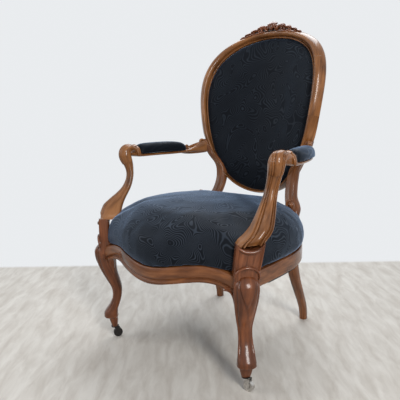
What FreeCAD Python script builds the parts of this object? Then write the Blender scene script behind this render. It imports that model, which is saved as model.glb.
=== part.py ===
"""Open armchair with a spoon-shaped oval back, cabriole front legs on casters and a sprung seat.

Millimetres, +Z up. The sitter faces -Y, so the sitter's left is +X. Every sub-part is drawn with Y
measured from the line through the two front feet. Its Placement then moves it back by mid_depth, so
that the origin is on the floor under the middle of the whole chair.
"""
import FreeCAD, Part
import os
from math import asin, copysign, cos, hypot, pi, radians, sin, tan

V = FreeCAD.Vector
doc = FreeCAD.newDocument("Armchair")

# Driving dimensions, each with what it measures
SIZES = {
    "mid_depth": (259.8, "front foot line to the middle of the whole chair"),
    "front_leg_x": (274.0, "middle plane to a front leg's axis"),
    "knee_height": (303.0, "floor to the underside of the side rails"),
    "block_width": (76.0, "front leg's corner block across its diagonal face"),
    "block_inner": (39.0, "front leg's axis to the end of the front rail"),
    "block_outer": (31.0, "front leg's axis to the end of a side rail"),
    "block_lean": (15.0, "how far the block's top stands towards the side rail"),
    "block_shelf": (9.0, "front leg's axis to the back of the block over the rails"),
    "block_face": (22.0, "front leg's axis to the diagonal face of its block"),
    "block_back": (33.0, "front leg's axis to the inner face of its block"),
    "notch_low": (408.0, "floor to the bottom of the notch under an arm support"),
    "notch_radius": (53.0, "curve of that notch"),
    "foot_height": (41.0, "floor to the underside of a front leg's peg"),
    "brow_top": (366.0, "floor to the top of the arched lip over the knee"),
    "brow_half": (35.0, "half the arched lip's width"),
    "brow_rise": (26.0, "arched lip's height over its ends"),
    "brow_wall": (6.0, "thickness of the arched lip"),
    "brow_proud": (8.0, "arched lip in front of the block's face"),
    "front_rail_end": (32.0, "front rail's ends in front of the foot line"),
    "front_rail_bow": (66.0, "middle of the front rail in front of its ends"),
    "front_rail_lift": (28.0, "front rail's top at its middle above the rails' underside"),
    "front_rail_rise": (20.0, "front rail's top near its ends above its middle"),
    "front_rail_height": (49.0, "front rail from top to bottom"),
    "front_rail_thick": (30.0, "front rail from front to back"),
    "front_rail_reach": (250.0, "middle plane to the last shaped station of the front rail"),
    "rail_height": (44.0, "side and back rails from top to bottom"),
    "rail_thick": (25.0, "side and back rails' thickness"),
    "seat_half": (302.0, "middle plane to a side rail's outer face at the front leg"),
    "rear_leg_x": (190.0, "middle plane to a rear leg's axis at the seat"),
    "rear_leg_y": (415.0, "foot line to a rear leg's axis at the seat"),
    "rear_block_width": (40.0, "rear leg's width at the seat"),
    "rear_block_depth": (44.0, "rear leg's depth at the seat"),
    "rear_splay": (108.0, "rear foot behind the rear leg's axis at the seat"),
    "tenon_length": (18.0, "rail tenons in the legs"),
    "tenon_thick": (10.0, "rail tenons' thickness"),
    "tenon_height": (30.0, "rail tenons' height"),
    "brace_reach": (62.0, "front corner brace from the leg's axis to its inner edge"),
    "brace_half": (53.0, "front corner brace's half length"),
    "brace_height": (28.0, "corner braces' height"),
    "rear_brace_run": (38.0, "rear corner brace in front of the rear leg"),
    "oval_half_width": (211.7, "opening of the oval frame, half its width at mid height"),
    "oval_half_height": (280.0, "opening of the oval frame, half its height"),
    "oval_mid_height": (745.9, "floor to the middle of the oval"),
    "oval_mid_depth": (553.6, "foot line to the middle of the oval"),
    "back_rake": (8.53, "back's lean, in degrees"),
    "spoon_depth": (69.6, "oval's sides in front of its middle line"),
    "rim_width": (29.5, "oval frame's width at mid height"),
    "rim_top_width": (29.0, "oval frame's width at the top"),
    "rim_low_width": (12.5, "oval frame's width at the bottom"),
    "rim_swell": (9.0, "how much wider the oval frame's shoulders are"),
    "rim_depth": (32.0, "oval frame from front to back"),
    "arm_height": (617.0, "floor to the top of an arm under its pad"),
    "arm_thick": (10.0, "arm's height under its pad"),
    "arm_width": (38.0, "arm's width under its pad"),
    "pad_width": (54.0, "arm pad's width"),
    "pad_height": (38.0, "arm pad's height"),
    "seat_crown": (490.0, "floor to the top of the seat"),
    "seat_mid": (200.0, "foot line to the highest point of the seat"),
    "cover_lap": (3.0, "seat cover's edge inside the rails' outer faces"),
    "corner_draw": (26.0, "how far the seat's front corners are drawn in at mid height"),
    "spring_top": (397.0, "floor to the top of the seat springs"),
    "spring_radius": (38.0, "seat spring's end coils"),
    "spring_waist": (25.0, "seat spring's waist"),
    "spring_wall": (3.0, "seat spring's wire"),
    "spring_pitch": (125.0, "spacing of the seat springs"),
    "web_width": (50.0, "webbing's width"),
    "web_thick": (2.0, "webbing's thickness"),
    "cloth_thick": (1.5, "hessian, lining and outer back cloth"),
    "back_swell": (24.0, "back pad's swell in front of its edge"),
    "clearance": (0.3, "gap round each soft part"),
    "wheel_radius": (15.0, "caster wheel's radius"),
    "wheel_width": (11.0, "caster wheel's width"),
    "axle_radius": (2.5, "caster axle's radius"),
    "play": (0.05, "running gap on the axles and swivel pins"),
    "fork_wall": (2.0, "caster fork's plate"),
    "fork_gap": (12.6, "caster fork's cheeks, inside to inside"),
    "fork_radius": (11.0, "caster fork's crown and cheek radius"),
    "trail": (10.0, "caster wheel's axle from its swivel axis"),
    "pin_radius": (3.5, "caster swivel pin's radius"),
    "pin_head": (5.5, "radius of the swivel pin's head"),
    "plate_radius": (12.5, "caster plate's radius"),
    "plate_thick": (2.5, "caster plate's thickness"),
    "screw_length": (22.0, "caster screw's length in the leg"),
    "screw_radius": (4.0, "caster screw's radius"),
    "overrun": (400.0, "how far cutting shapes run past what they cut"),
}

sheet = doc.addObject("Spreadsheet::Sheet", "Sizes")
for row, (alias, (value, note)) in enumerate(SIZES.items(), start=1):
    sheet.set(f"A{row}", note)
    sheet.set(f"B{row}", str(value))
    sheet.setAlias(f"B{row}", alias)
doc.recompute()


class SheetSizes:
    """The sheet's values by name."""

    def __getattr__(self, alias):
        return float(sheet.get(alias))


size = SheetSizes()

UP = V(0, 0, 1)
OUT = V(1, -1, 0).normalize()      # the left front leg faces this way
SIDE = V(1, 1, 0).normalize()      # and this runs across its face, towards the side rail
RING_STEPS = 10                    # points round a carved section
FLATS = 8                          # flats round a small scroll or a spring
CARVED = 0.8                       # fullness of a carved section


# Shapes


def polygon(points):
    return Part.makePolygon(points + points[:1])


def rounded_ring(middle, across, along, half_across, half_along, fullness=CARVED):
    """Points of a section between an oval (fullness 1) and a rectangle (fullness 0)."""
    points = []
    for step in range(RING_STEPS):
        turn = 2 * pi * (step + 0.5) / RING_STEPS
        c, s = cos(turn), sin(turn)
        part_across = across * (half_across * copysign(abs(c) ** fullness, c))
        part_along = along * (half_along * copysign(abs(s) ** fullness, s))
        points.append(middle + part_across + part_along)
    return points


def refined(table, parts=2):
    """The table's rows with others between them, on a smooth curve through them."""
    rows = []
    last = len(table) - 1
    for index in range(last):
        near = (table[max(index - 1, 0)], table[index], table[index + 1], table[min(index + 2, last)])
        for part in range(parts):
            rows.append([between(*values, part / parts) for values in zip(*near)])
    return rows + [list(table[-1])]


def between(before, start, end, beyond, t):
    """A value on the smooth curve from start to end, at a share t of the way."""
    slope = (end - before) / 2
    bend = before - (5 * start - 4 * end + beyond) / 2
    twist = (beyond - before) / 2 + 3 * (start - end) / 2
    return start + slope * t + bend * t**2 + twist * t**3


def flat_ring(middle, across, along, radius):
    """Points round a many-sided circle."""
    turns = [2 * pi * (step + 0.5) / FLATS for step in range(FLATS)]
    return [middle + across * (radius * cos(turn)) + along * (radius * sin(turn)) for turn in turns]


def triangle(a, b, c):
    return Part.Face(polygon([a, b, c]))


def skin(rings):
    """Flat faces between rings of points. A ring may be one point, the apex of a cone."""
    faces = []
    for low, high in zip(rings, rings[1:]):
        count = len(low)
        for index in range(count):
            a, b = low[index], low[(index + 1) % count]
            if len(high) == 1:
                faces.append(triangle(a, b, high[0]))
                continue
            c, d = high[(index + 1) % count], high[index]
            if (c - a).Length <= (d - b).Length:
                faces += [triangle(a, b, c), triangle(a, c, d)]
            else:
                faces += [triangle(a, b, d), triangle(b, c, d)]
    return faces


def closed(faces):
    """The solid that faces enclose."""
    shell = Part.makeShell(faces)
    shell.sewShape()
    solid = Part.makeSolid(shell)
    if solid.Volume < 0:
        solid.reverse()
    return solid


def loft(rings):
    """A solid through flat rings of points, flat at both its ends."""
    ends = [Part.Face(polygon(rings[0])), Part.Face(polygon(rings[-1]))]
    return closed(skin(rings) + ends)


def largest(shape):
    """The largest of a shape's solids, without the chips that a cut leaves past another piece."""
    return max(shape.Solids, key=lambda solid: solid.Volume)


def prism(points, rise):
    return Part.Face(polygon(points)).extrude(rise)


def mirrored(shape):
    return shape.mirror(V(0, 0, 0), V(1, 0, 0))


# Front legs

NOTCH_STEPS = 5                    # flats of each half of the notch
BROW_STEPS = 10                    # flats of the arched lip
NOTCH_PLACE_SHARE = 0.4            # the notch's middle to the side, as a share of block_lean

# Cabriole leg from its peg to its knee: height over foot_height as a share of what is between it and
# knee_height, then the section's outer and inner limits from the leg's axis, its half width and its
# place to the side, as shares of block_width
CABRIOLE_SHARES = (
    (0.000, -0.01, -0.25, 0.165, 0.00),
    (0.067, 0.10, -0.28, 0.215, 0.00),
    (0.122, 0.20, -0.27, 0.270, 0.00),
    (0.147, 0.26, -0.28, 0.325, 0.00),
    (0.193, 0.29, -0.30, 0.345, 0.00),
    (0.245, 0.19, -0.32, 0.315, 0.00),
    (0.319, 0.02, -0.41, 0.275, 0.00),
    (0.416, -0.10, -0.50, 0.245, 0.00),
    (0.532, -0.07, -0.53, 0.257, -0.02),
    (0.647, 0.12, -0.46, 0.315, -0.045),
    (0.763, 0.32, -0.37, 0.370, -0.06),
    (0.879, 0.48, -0.34, 0.420, -0.06),
    (0.988, 0.55, -0.35, 0.450, -0.06),
    (1.050, 0.54, -0.33, 0.430, -0.06),
    (1.105, 0.41, -0.28, 0.365, -0.05),
    (1.150, 0.24, -0.22, 0.280, -0.05),
)

# Ear between the leg and the front rail: side distances as shares of block_width, heights as shares
# of knee_height
EAR_SHARES = (
    (-0.20, 0.84),
    (-0.46, 0.87),
    (-0.50, 0.91),
    (-0.56, 0.945),
    (-0.66, 0.97),
    (-0.80, 0.985),
    (-0.80, 1.02),
    (-0.20, 1.02),
)
EAR_DEPTH_SHARES = (-0.30, -0.01)   # its back and front from the leg's axis, as shares of block_width


def on_leg(out, side, height):
    """A point by its distances from the left leg's axis, outwards and sideways, and its height."""
    return V(size.front_leg_x, 0, 0) + OUT * out + SIDE * side + UP * height


def leg_prism(inner, outer, left, right, low, high):
    corners = [(inner, left), (outer, left), (outer, right), (inner, right)]
    return prism([on_leg(out, side, low) for out, side in corners], UP * (high - low))


def block_face(sign):
    """Side face of the left leg's block that the front rail (sign -1) or the side rail (1) meets."""
    return size.block_outer if sign > 0 else -size.block_inner


def front_tenon(sign):
    """Tenon of the front rail (sign -1) or of the side rail (sign 1) in the left front leg."""
    face = block_face(sign)
    depth = face - sign * size.tenon_length
    back = -size.block_back / 2
    low = size.knee_height + (size.rail_height - size.tenon_height) / 2
    left, right = sorted((depth, face))
    return leg_prism(back, back + size.tenon_thick, left, right, low, low + size.tenon_height)


def peg_axis():
    """The foot of the left caster's swivel axis on the floor."""
    outer, inner = CABRIOLE_SHARES[0][1:3]
    return on_leg((outer + inner) / 2 * size.block_width, 0, 0)


def support_foot():
    """All that lies over the round notch in the left block, and over its slopes carried on."""
    radius, half = size.notch_radius, size.block_width / 2
    middle = size.block_lean * NOTCH_PLACE_SHARE
    steep = asin(half / radius)
    profile = []
    for step in range(-NOTCH_STEPS, NOTCH_STEPS + 1):
        turn = steep * step / NOTCH_STEPS
        profile.append((radius * sin(turn), radius - radius * cos(turn)))
    lift = block_top() - size.notch_low + size.overrun * tan(steep)
    profile += [(half + size.overrun, lift), (-half - size.overrun, lift)]
    points = [on_leg(-size.overrun, middle + side, size.notch_low + up) for side, up in profile]
    return prism(points, OUT * (2 * size.overrun))


def block_top():
    """Height of the horns of the block, at its side faces."""
    half = size.block_width / 2
    return size.notch_low + size.notch_radius - (size.notch_radius**2 - half**2) ** 0.5


def brow():
    """The arched lip over the left knee, between two half ovals."""
    middle = (size.block_outer - size.block_inner) / 2
    low = size.brow_top - size.brow_rise
    points = []
    for wall in (0, size.brow_wall):
        arc = []
        for step in range(BROW_STEPS + 1):
            turn = pi * step / BROW_STEPS
            side = middle + (size.brow_half - wall) * cos(turn)
            arc.append(on_leg(0, side, low + (size.brow_rise - wall) * sin(turn)))
        points += arc[::-1] if wall else arc
    return prism(points, OUT * (size.block_face + size.brow_proud))


def upper_block():
    """The left leg's block over the rails, which leans towards the side rail."""
    low = size.knee_height + size.rail_height
    high = size.notch_low + size.notch_radius
    half = size.block_width / 2
    sides = ((low, -size.block_inner, size.block_outer),
             (high, size.block_lean - half, size.block_lean + half))
    rings = []
    for height, left, right in sides:
        corners = [(-size.block_shelf, left), (size.block_face, left)]
        corners += [(size.block_face, right), (-size.block_shelf, right)]
        rings.append([on_leg(out, side, height) for out, side in corners])
    return loft(rings)


def lower_block(grow=0.0, low=0.0):
    """The left leg's block between the rails' ends, grown on its inner faces."""
    low = low or size.knee_height
    left, right = block_face(-1) - grow, block_face(1) + grow
    back = -size.block_back - grow
    return leg_prism(back, size.block_face, left, right, low, size.knee_height + size.rail_height)


def ear():
    """The curved bracket where the left leg meets the front rail."""
    back, front = (share * size.block_width for share in EAR_DEPTH_SHARES)
    points = [on_leg(back, side * size.block_width, up * size.knee_height) for side, up in EAR_SHARES]
    return prism(points, OUT * (front - back)).cut(front_rail())


def front_leg():
    rings = []
    for up, outer, inner, half, side in refined(CABRIOLE_SHARES):
        place = side * size.block_width
        height = size.foot_height + up * (size.knee_height - size.foot_height)
        middle = on_leg((outer + inner) / 2 * size.block_width, place, height)
        half_out = (outer - inner) / 2 * size.block_width
        rings.append(rounded_ring(middle, SIDE, OUT, half * size.block_width, half_out))
    blocks = [lower_block(), upper_block().cut(support_foot())]
    leg = loft(rings).fuse(blocks + [brow(), ear()])
    peg = peg_axis() + UP * size.foot_height
    across, along = V(1, 0, 0), V(0, 1, 0)
    foot = flat_ring(peg, across, along, size.screw_radius)
    return leg.cut([front_tenon(-1), front_tenon(1), prism(foot, UP * size.screw_length)])


# Seat rails

# Front rail by stations from its middle: place as a share of front_rail_reach, bow as a share of
# front_rail_bow, rise as a share of front_rail_rise, height as a share of front_rail_height
FRONT_RAIL_SHARES = (
    (0.00, 1.000, 0.00, 1.00),
    (0.16, 0.955, 0.14, 1.00),
    (0.32, 0.833, 0.52, 1.00),
    (0.48, 0.620, 0.86, 0.98),
    (0.64, 0.333, 1.00, 0.94),
    (0.80, 0.120, 0.98, 0.96),
    (0.92, 0.030, 0.96, 1.06),
    (1.06, 0.000, 0.94, 1.12),
)

# Front rail's section, as shares of its thickness from the front and of its height from the bottom
RAIL_SECTION_SHARES = (
    (1.00, 0.00),
    (1.00, 1.00),
    (0.14, 1.00),
    (0.05, 0.90),
    (0.00, 0.70),
    (0.02, 0.50),
    (0.08, 0.34),
    (0.17, 0.24),
    (0.06, 0.20),
    (0.02, 0.12),
    (0.06, 0.03),
    (0.16, 0.00),
)

# Seat's plan from the side of the front leg round to the rear leg, as shares of seat_half and
# rear_leg_y: the outer face of the side rail
SEAT_SIDE_SHARES = (
    (1.000, 0.020),
    (1.004, 0.120),
    (1.012, 0.250),
    (1.018, 0.400),
    (1.008, 0.540),
    (0.970, 0.670),
    (0.909, 0.780),
    (0.828, 0.880),
    (0.748, 0.965),
    (0.665, 1.030),
)


def front_rail_station(share):
    """A station's distance from the middle, its front face, its top and its height."""
    along, bow, rise, height = share
    front = -size.front_rail_end - bow * size.front_rail_bow
    top = size.knee_height + size.front_rail_lift + rise * size.front_rail_rise
    return along * size.front_rail_reach, front, top, height * size.front_rail_height


def beyond_block(sign):
    """All that lies past the side face of the left leg's block where a rail meets it."""
    left, right = sorted((block_face(sign), -sign * size.overrun))
    return leg_prism(-size.overrun, size.overrun, left, right, 0, size.notch_low)


def front_rail():
    rings = []
    mirror_half = [(-along, *rest) for along, *rest in reversed(FRONT_RAIL_SHARES[1:])]
    for share in refined(mirror_half + list(FRONT_RAIL_SHARES)):
        x, front, top, height = front_rail_station(share)
        ring = [V(x, front + back * size.front_rail_thick, top - height + up * height)
                for back, up in RAIL_SECTION_SHARES]
        rings.append(ring)
    past = beyond_block(-1)
    rail = loft(rings).cut([past, mirrored(past)])
    return rail.fuse([front_tenon(-1), mirrored(front_tenon(-1))])


def side_plan(parts=2):
    """Points of the left side rail's outer face, seen from above."""
    rows = refined(SEAT_SIDE_SHARES, parts)
    return [V(x * size.seat_half, y * size.rear_leg_y, 0) for x, y in rows]


def inset(points, distance):
    """Points moved to their left, square to the open line through them."""
    moved = []
    for index, point in enumerate(points):
        before = points[max(index - 1, 0)]
        after = points[min(index + 1, len(points) - 1)]
        run = (after - before).normalize()
        moved.append(point + V(-run.y, run.x, 0) * distance)
    return moved


def rear_block_box(grow=0.0):
    """The left rear leg's square stretch at the seat, grown on all its sides."""
    half_x = size.rear_block_width / 2 + grow
    half_y = size.rear_block_depth / 2 + grow
    corner = V(size.rear_leg_x - half_x, size.rear_leg_y - half_y, size.knee_height)
    return Part.makeBox(2 * half_x, 2 * half_y, size.rail_height + grow, corner)


def rear_tenon(sign):
    """Tenon of the back rail (sign -1) or of the side rail (sign 1) in the left rear leg."""
    face = size.rear_leg_x + sign * size.rear_block_width / 2
    start = min(face, face - sign * size.tenon_length)
    low = size.knee_height + (size.rail_height - size.tenon_height) / 2
    corner = V(start, size.rear_leg_y - size.tenon_thick / 2, low)
    return Part.makeBox(size.tenon_length, size.tenon_thick, size.tenon_height, corner)


def side_rail():
    outer = [point + UP * size.knee_height for point in side_plan()]
    inner = inset(outer, size.rail_thick)
    rail = prism(outer + inner[::-1], UP * size.rail_height)
    rail = rail.cut([beyond_block(1), rear_leg_side()])
    return rail.fuse([front_tenon(1), rear_tenon(1)])


def rear_leg_side():
    """All that lies inwards of the left rear leg's outer face."""
    face = size.rear_leg_x + size.rear_block_width / 2
    corner = V(face - size.overrun, size.rear_leg_y - size.overrun / 2, 0)
    return Part.makeBox(size.overrun, size.overrun, size.notch_low, corner)


# Corner braces


def front_brace():
    """Brace behind the left front leg's block."""
    back = -size.block_back - size.clearance
    shoulder = -(size.block_back + size.brace_reach) / 2
    corners = [
        (back, block_face(-1)),
        (back, block_face(1)),
        (shoulder, size.brace_half),
        (-size.brace_reach, size.brace_half),
        (-size.brace_reach, -size.brace_half),
        (shoulder, -size.brace_half),
    ]
    low = size.knee_height + (size.rail_height - size.brace_height) / 2
    return prism([on_leg(out, side, low) for out, side in corners], UP * size.brace_height)


def rear_brace():
    """Brace in front of the left rear leg."""
    half = size.rear_block_width / 2
    back = size.rear_leg_y - size.rear_block_depth / 2 - size.clearance
    front = back - size.rear_brace_run
    low = size.knee_height + (size.rail_height - size.brace_height) / 2
    left, right = size.rear_leg_x - half, size.rear_leg_x + half
    corners = [V(left - half, back, low), V(right, back, low), V(right + half, front, low)]
    corners.append(V(left + half, front, low))
    return prism(corners, UP * size.brace_height).cut(side_rail())


# Rear legs

# Rear leg's foot, from the floor to its block: height as a share of knee_height, how far behind the
# block's axis as a share of rear_splay, half width and half depth as shares of the block's own
REAR_FOOT_SHARES = (
    (0.00, 1.00, 0.65, 0.60),
    (0.09, 0.975, 0.67, 0.63),
    (0.20, 0.88, 0.70, 0.70),
    (0.38, 0.61, 0.77, 0.78),
    (0.56, 0.34, 0.85, 0.86),
    (0.73, 0.14, 0.91, 0.92),
    (0.88, 0.035, 0.96, 0.97),
    (1.00, 0.00, 0.99, 0.99),
)

# Stile from the block past the oval frame's side: way from the block's top to stile_end as a share,
# place outwards and backwards from the straight line between them as shares of rear_block_width,
# half width and half depth as shares of the block's own
STILE_SHARES = (
    (0.000, 0.00, 0.05, 0.99, 0.99),
    (0.108, -0.03, 0.05, 0.96, 0.94),
    (0.223, -0.14, 0.14, 1.04, 0.88),
    (0.324, -0.25, 0.27, 1.30, 0.84),
    (0.395, -0.44, 0.41, 1.26, 0.80),
    (0.484, -0.68, 0.51, 1.10, 0.76),
    (0.611, -0.79, 0.60, 1.07, 0.72),
    (0.745, -0.76, 0.56, 1.05, 0.70),
    (0.898, -0.49, 0.32, 0.92, 0.70),
    (1.050, 0.25, -0.11, 0.88, 0.68),
    (1.191, 0.75, -0.49, 0.80, 0.64),
    (1.292, 1.06, -0.76, 0.70, 0.58),
)
STILE_END_SHARES = (0.75, -0.10)    # where it meets the frame's section, outwards and forwards


def stile_end():
    """Where the left stile's straight line ends, in the oval frame's side."""
    return oval_place(radians(SIDE_ANGLES[0]))(*STILE_END_SHARES)


def stile(grow=0.0):
    """The left stile, grown on all its sides."""
    block = V(size.rear_leg_x, size.rear_leg_y, size.knee_height + size.rail_height)
    half_x, half_y = size.rear_block_width / 2, size.rear_block_depth / 2
    rings = []
    for share, out, back, wide, deep in refined(STILE_SHARES):
        middle = block + (stile_end() - block) * share + V(out, back, 0) * size.rear_block_width
        ring = rounded_ring(middle, V(1, 0, 0), V(0, 1, 0), wide * half_x + grow, deep * half_y + grow)
        rings.append(ring)
    return loft(rings)


def rear_leg():
    x, y = size.rear_leg_x, size.rear_leg_y
    half_x, half_y = size.rear_block_width / 2, size.rear_block_depth / 2
    foot = []
    for up, back, wide, deep in REAR_FOOT_SHARES:
        middle = V(x, y + back * size.rear_splay, up * size.knee_height)
        foot.append(rounded_ring(middle, V(1, 0, 0), V(0, 1, 0), wide * half_x, deep * half_y))
    leg = rear_block_box().fuse([loft(foot), stile()])
    leg = leg.cut([rear_tenon(-1), rear_tenon(1), oval_side(), oval_low()])
    return largest(leg)


# Oval back frame

# How the oval's width grows from its middle, with height and with height squared
OVAL_FULLNESS_SHARES = (0.187, 0.263)
SPOON_LOSS_SHARE = 0.5             # how much of the spoon is lost at the top of the oval

# Rim's section, as shares of its width outwards from the opening and of its depth forwards
RIM_SECTION_SHARES = (
    (0.00, -0.45),
    (0.00, 0.12),
    (0.06, 0.21),
    (0.15, 0.20),
    (0.21, 0.11),
    (0.31, 0.32),
    (0.46, 0.47),
    (0.64, 0.48),
    (0.80, 0.33),
    (0.92, 0.04),
    (0.99, -0.24),
    (1.00, -0.48),
    (0.88, -0.72),
    (0.50, -0.70),
)

RIM_NARROWS_SHARES = (0.2, 0.35)    # where the rim starts to narrow downwards, and over how much
SIDE_ANGLES = (-34.0, 40.0)        # degrees of the oval that a side member takes
TOP_STEPS, SIDE_STEPS, LOW_STEPS = 12, 9, 11


def oval_flat(turn):
    """A point of the opening's edge, on the flattened back: across, and up the rake."""
    c, s = cos(turn), sin(turn)
    with_height, with_square = OVAL_FULLNESS_SHARES
    half = size.oval_half_width * (1 + with_height * s + with_square * s * s)
    return half * c, size.oval_half_height * s


def spoon(up):
    """The spoon's depth at a height up the rake from the oval's middle."""
    high = max(0, up / size.oval_half_height)
    return size.spoon_depth * (1 - SPOON_LOSS_SHARE * high**2)


def back_point(across, up):
    """A point on the back's surface, which leans by the rake and is curved across."""
    rake = radians(size.back_rake)
    forward = spoon(up) * (across / size.oval_half_width) ** 2
    y = size.oval_mid_depth + up * sin(rake) - forward
    return V(across, y, size.oval_mid_height + up * cos(rake))


def back_axes(across, up):
    """The back's directions at a place: across, up the rake, and forwards, square to both."""
    rake = radians(size.back_rake)
    slope = -2 * spoon(up) * across / size.oval_half_width**2
    side = V(1, slope, 0).normalize()
    rise = V(0, sin(rake), cos(rake))
    return side, rise, side.cross(rise).normalize()


def rim_width(turn):
    """The oval frame's width at a turn of the oval: wider at its shoulders, narrower at its bottom."""
    high = sin(turn)
    if high > 0:
        shoulder = size.rim_swell * sin(2 * turn) ** 2
        return size.rim_width + (size.rim_top_width - size.rim_width) * high**2 + shoulder
    start, run = RIM_NARROWS_SHARES
    low = min(1, max(0, (-high - start) / run))
    return size.rim_width + (size.rim_low_width - size.rim_width) * low**2 * (3 - 2 * low)


def oval_place(turn):
    """A function that puts (outwards, forwards) on the section of the rim at a turn of the oval."""
    step = 2 * pi / 360
    (x0, v0), (x1, v1) = oval_flat(turn - step), oval_flat(turn + step)
    run = hypot(x1 - x0, v1 - v0)
    across, up = oval_flat(turn)
    side, rise, front = back_axes(across, up)
    start = back_point(across, up)
    outward = (side * ((v1 - v0) / run) - rise * ((x1 - x0) / run)).normalize()
    front = (front - outward * front.dot(outward)).normalize()
    wide = rim_width(turn)

    def place(out, forward):
        return start + outward * (out * wide) + front * (forward * size.rim_depth)

    return place


def oval_member(first, last, steps):
    """A stretch of the oval frame between two angles in degrees."""
    rings = []
    for step in range(steps + 1):
        place = oval_place(radians(first + (last - first) * step / steps))
        rings.append([place(out, forward) for out, forward in RIM_SECTION_SHARES])
    return loft(rings)


def oval_side():
    return oval_member(*SIDE_ANGLES, SIDE_STEPS)


def oval_top():
    return oval_member(SIDE_ANGLES[1], 180 - SIDE_ANGLES[1], TOP_STEPS)


def oval_low():
    return oval_member(180 - SIDE_ANGLES[0], 360 + SIDE_ANGLES[0], LOW_STEPS)


def rim_turns():
    """The angles round the oval of all its members' stations."""
    low, high = SIDE_ANGLES
    side = [low + (high - low) * step / SIDE_STEPS for step in range(SIDE_STEPS)]
    top = [high + (180 - 2 * high) * step / TOP_STEPS for step in range(TOP_STEPS)]
    far = [180 - high + (high - low) * step / SIDE_STEPS for step in range(SIDE_STEPS)]
    under = [180 - low + (180 + 2 * low) * step / LOW_STEPS for step in range(LOW_STEPS)]
    return [radians(angle) for angle in side + top + far + under]


# Crest carving

# Crest's outline along the top of the oval frame: degrees from the middle, height over the frame and
# depth from front to back as shares of rim_width
CREST_SHARES = (
    (0.0, 1.12, 0.70),
    (2.1, 1.08, 0.68),
    (3.7, 0.84, 0.58),
    (5.0, 0.64, 0.50),
    (6.6, 0.66, 0.54),
    (8.2, 0.56, 0.52),
    (9.8, 0.40, 0.42),
    (11.2, 0.43, 0.44),
    (12.8, 0.36, 0.42),
    (14.7, 0.24, 0.35),
    (16.8, 0.23, 0.30),
    (19.2, 0.14, 0.26),
    (21.6, 0.05, 0.18),
)
CREST_ROOT_SHARE = 0.90            # where the crest springs from the frame's section

# Scrolls on the crest's front: degrees from the middle, height over the frame, radius and length, as
# shares of rim_width
SCROLL_SHARES = (
    (7.4, 0.28, 0.21, 0.34),
    (12.3, 0.17, 0.15, 0.26),
    (17.3, 0.09, 0.11, 0.20),
)
BALL_SHARE = 0.17                  # radius of the ball in the middle


def crest_spot(turn, high, forward=0.0):
    """A place over the top member: degrees from the middle, height and forward in rim widths."""
    place = oval_place(radians(90 - turn))
    root, tip = place(CREST_ROOT_SHARE, 0), place(1 + CREST_ROOT_SHARE, 0)
    outward = (tip - root).normalize()
    front = (place(0, 1) - place(0, 0)).normalize()
    return root + outward * (high * size.rim_width) + front * (forward * size.rim_width), outward, front


def crest_scroll(turn, high, radius, length):
    """A round scroll that stands out of the crest's front."""
    spot, outward, front = crest_spot(turn, high, length / -2)
    ring = flat_ring(spot, outward, front.cross(outward), radius * size.rim_width)
    return prism(ring, front * (1.5 * length * size.rim_width))


def crest_ball(spot, outward, front):
    """A many-sided ball."""
    radius = BALL_SHARE * size.rim_width
    rings = []
    for step in range(1, FLATS // 2):
        turn = pi * step / (FLATS // 2)
        middle = spot - front * (radius * cos(turn))
        rings.append(flat_ring(middle, outward, front.cross(outward), radius * sin(turn)))
    ends = [[spot - front * radius], [spot + front * radius]]
    return closed(skin(rings + ends[1:]) + skin([rings[0], ends[0]]))


def crest_carving():
    """The carved cresting on the top member's outer edge, with three scrolls each side of a ball."""
    rings = []
    mirror_half = [(-turn, *rest) for turn, *rest in reversed(CREST_SHARES[1:])]
    for turn, high, deep in mirror_half + list(CREST_SHARES):
        middle, outward, front = crest_spot(turn, high / 2)
        points = []
        for step in range(FLATS):
            angle = 2 * pi * (step + 0.5) / FLATS
            up = outward * (cos(angle) * high / 2 * size.rim_width)
            points.append(middle + up + front * (sin(angle) * deep / 2 * size.rim_width))
        rings.append(points)
    scrolls = [crest_scroll(*share) for share in SCROLL_SHARES]
    scrolls += [mirrored(scroll) for scroll in scrolls]
    spot, outward, front = crest_spot(0, CREST_SHARES[0][1] / 2, CREST_SHARES[0][2] / 2)
    ball = crest_ball(spot, outward, front)
    return loft(rings).fuse(scrolls + [ball]).cut(oval_top())


# Arms

# Arm support from its foot to the arm: height over notch_low as a share of what is between it and the
# arm's underside, place from the leg's axis to the side and back as shares of block_width, half width
# and half depth as shares of block_width
SUPPORT_SHARES = (
    (-0.030, -0.02, 0.06, 0.470, 0.365),
    (0.070, 0.04, 0.24, 0.485, 0.385),
    (0.130, 0.10, 0.42, 0.480, 0.390),
    (0.220, 0.16, 0.64, 0.440, 0.370),
    (0.320, 0.140, 0.88, 0.390, 0.300),
    (0.420, 0.085, 1.14, 0.345, 0.215),
    (0.510, 0.040, 1.34, 0.305, 0.165),
    (0.610, 0.031, 1.485, 0.270, 0.142),
    (0.710, 0.045, 1.575, 0.255, 0.137),
    (0.800, 0.085, 1.605, 0.260, 0.152),
    (0.900, 0.150, 1.59, 0.275, 0.200),
    (1.000, 0.230, 1.53, 0.300, 0.250),
)

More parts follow.
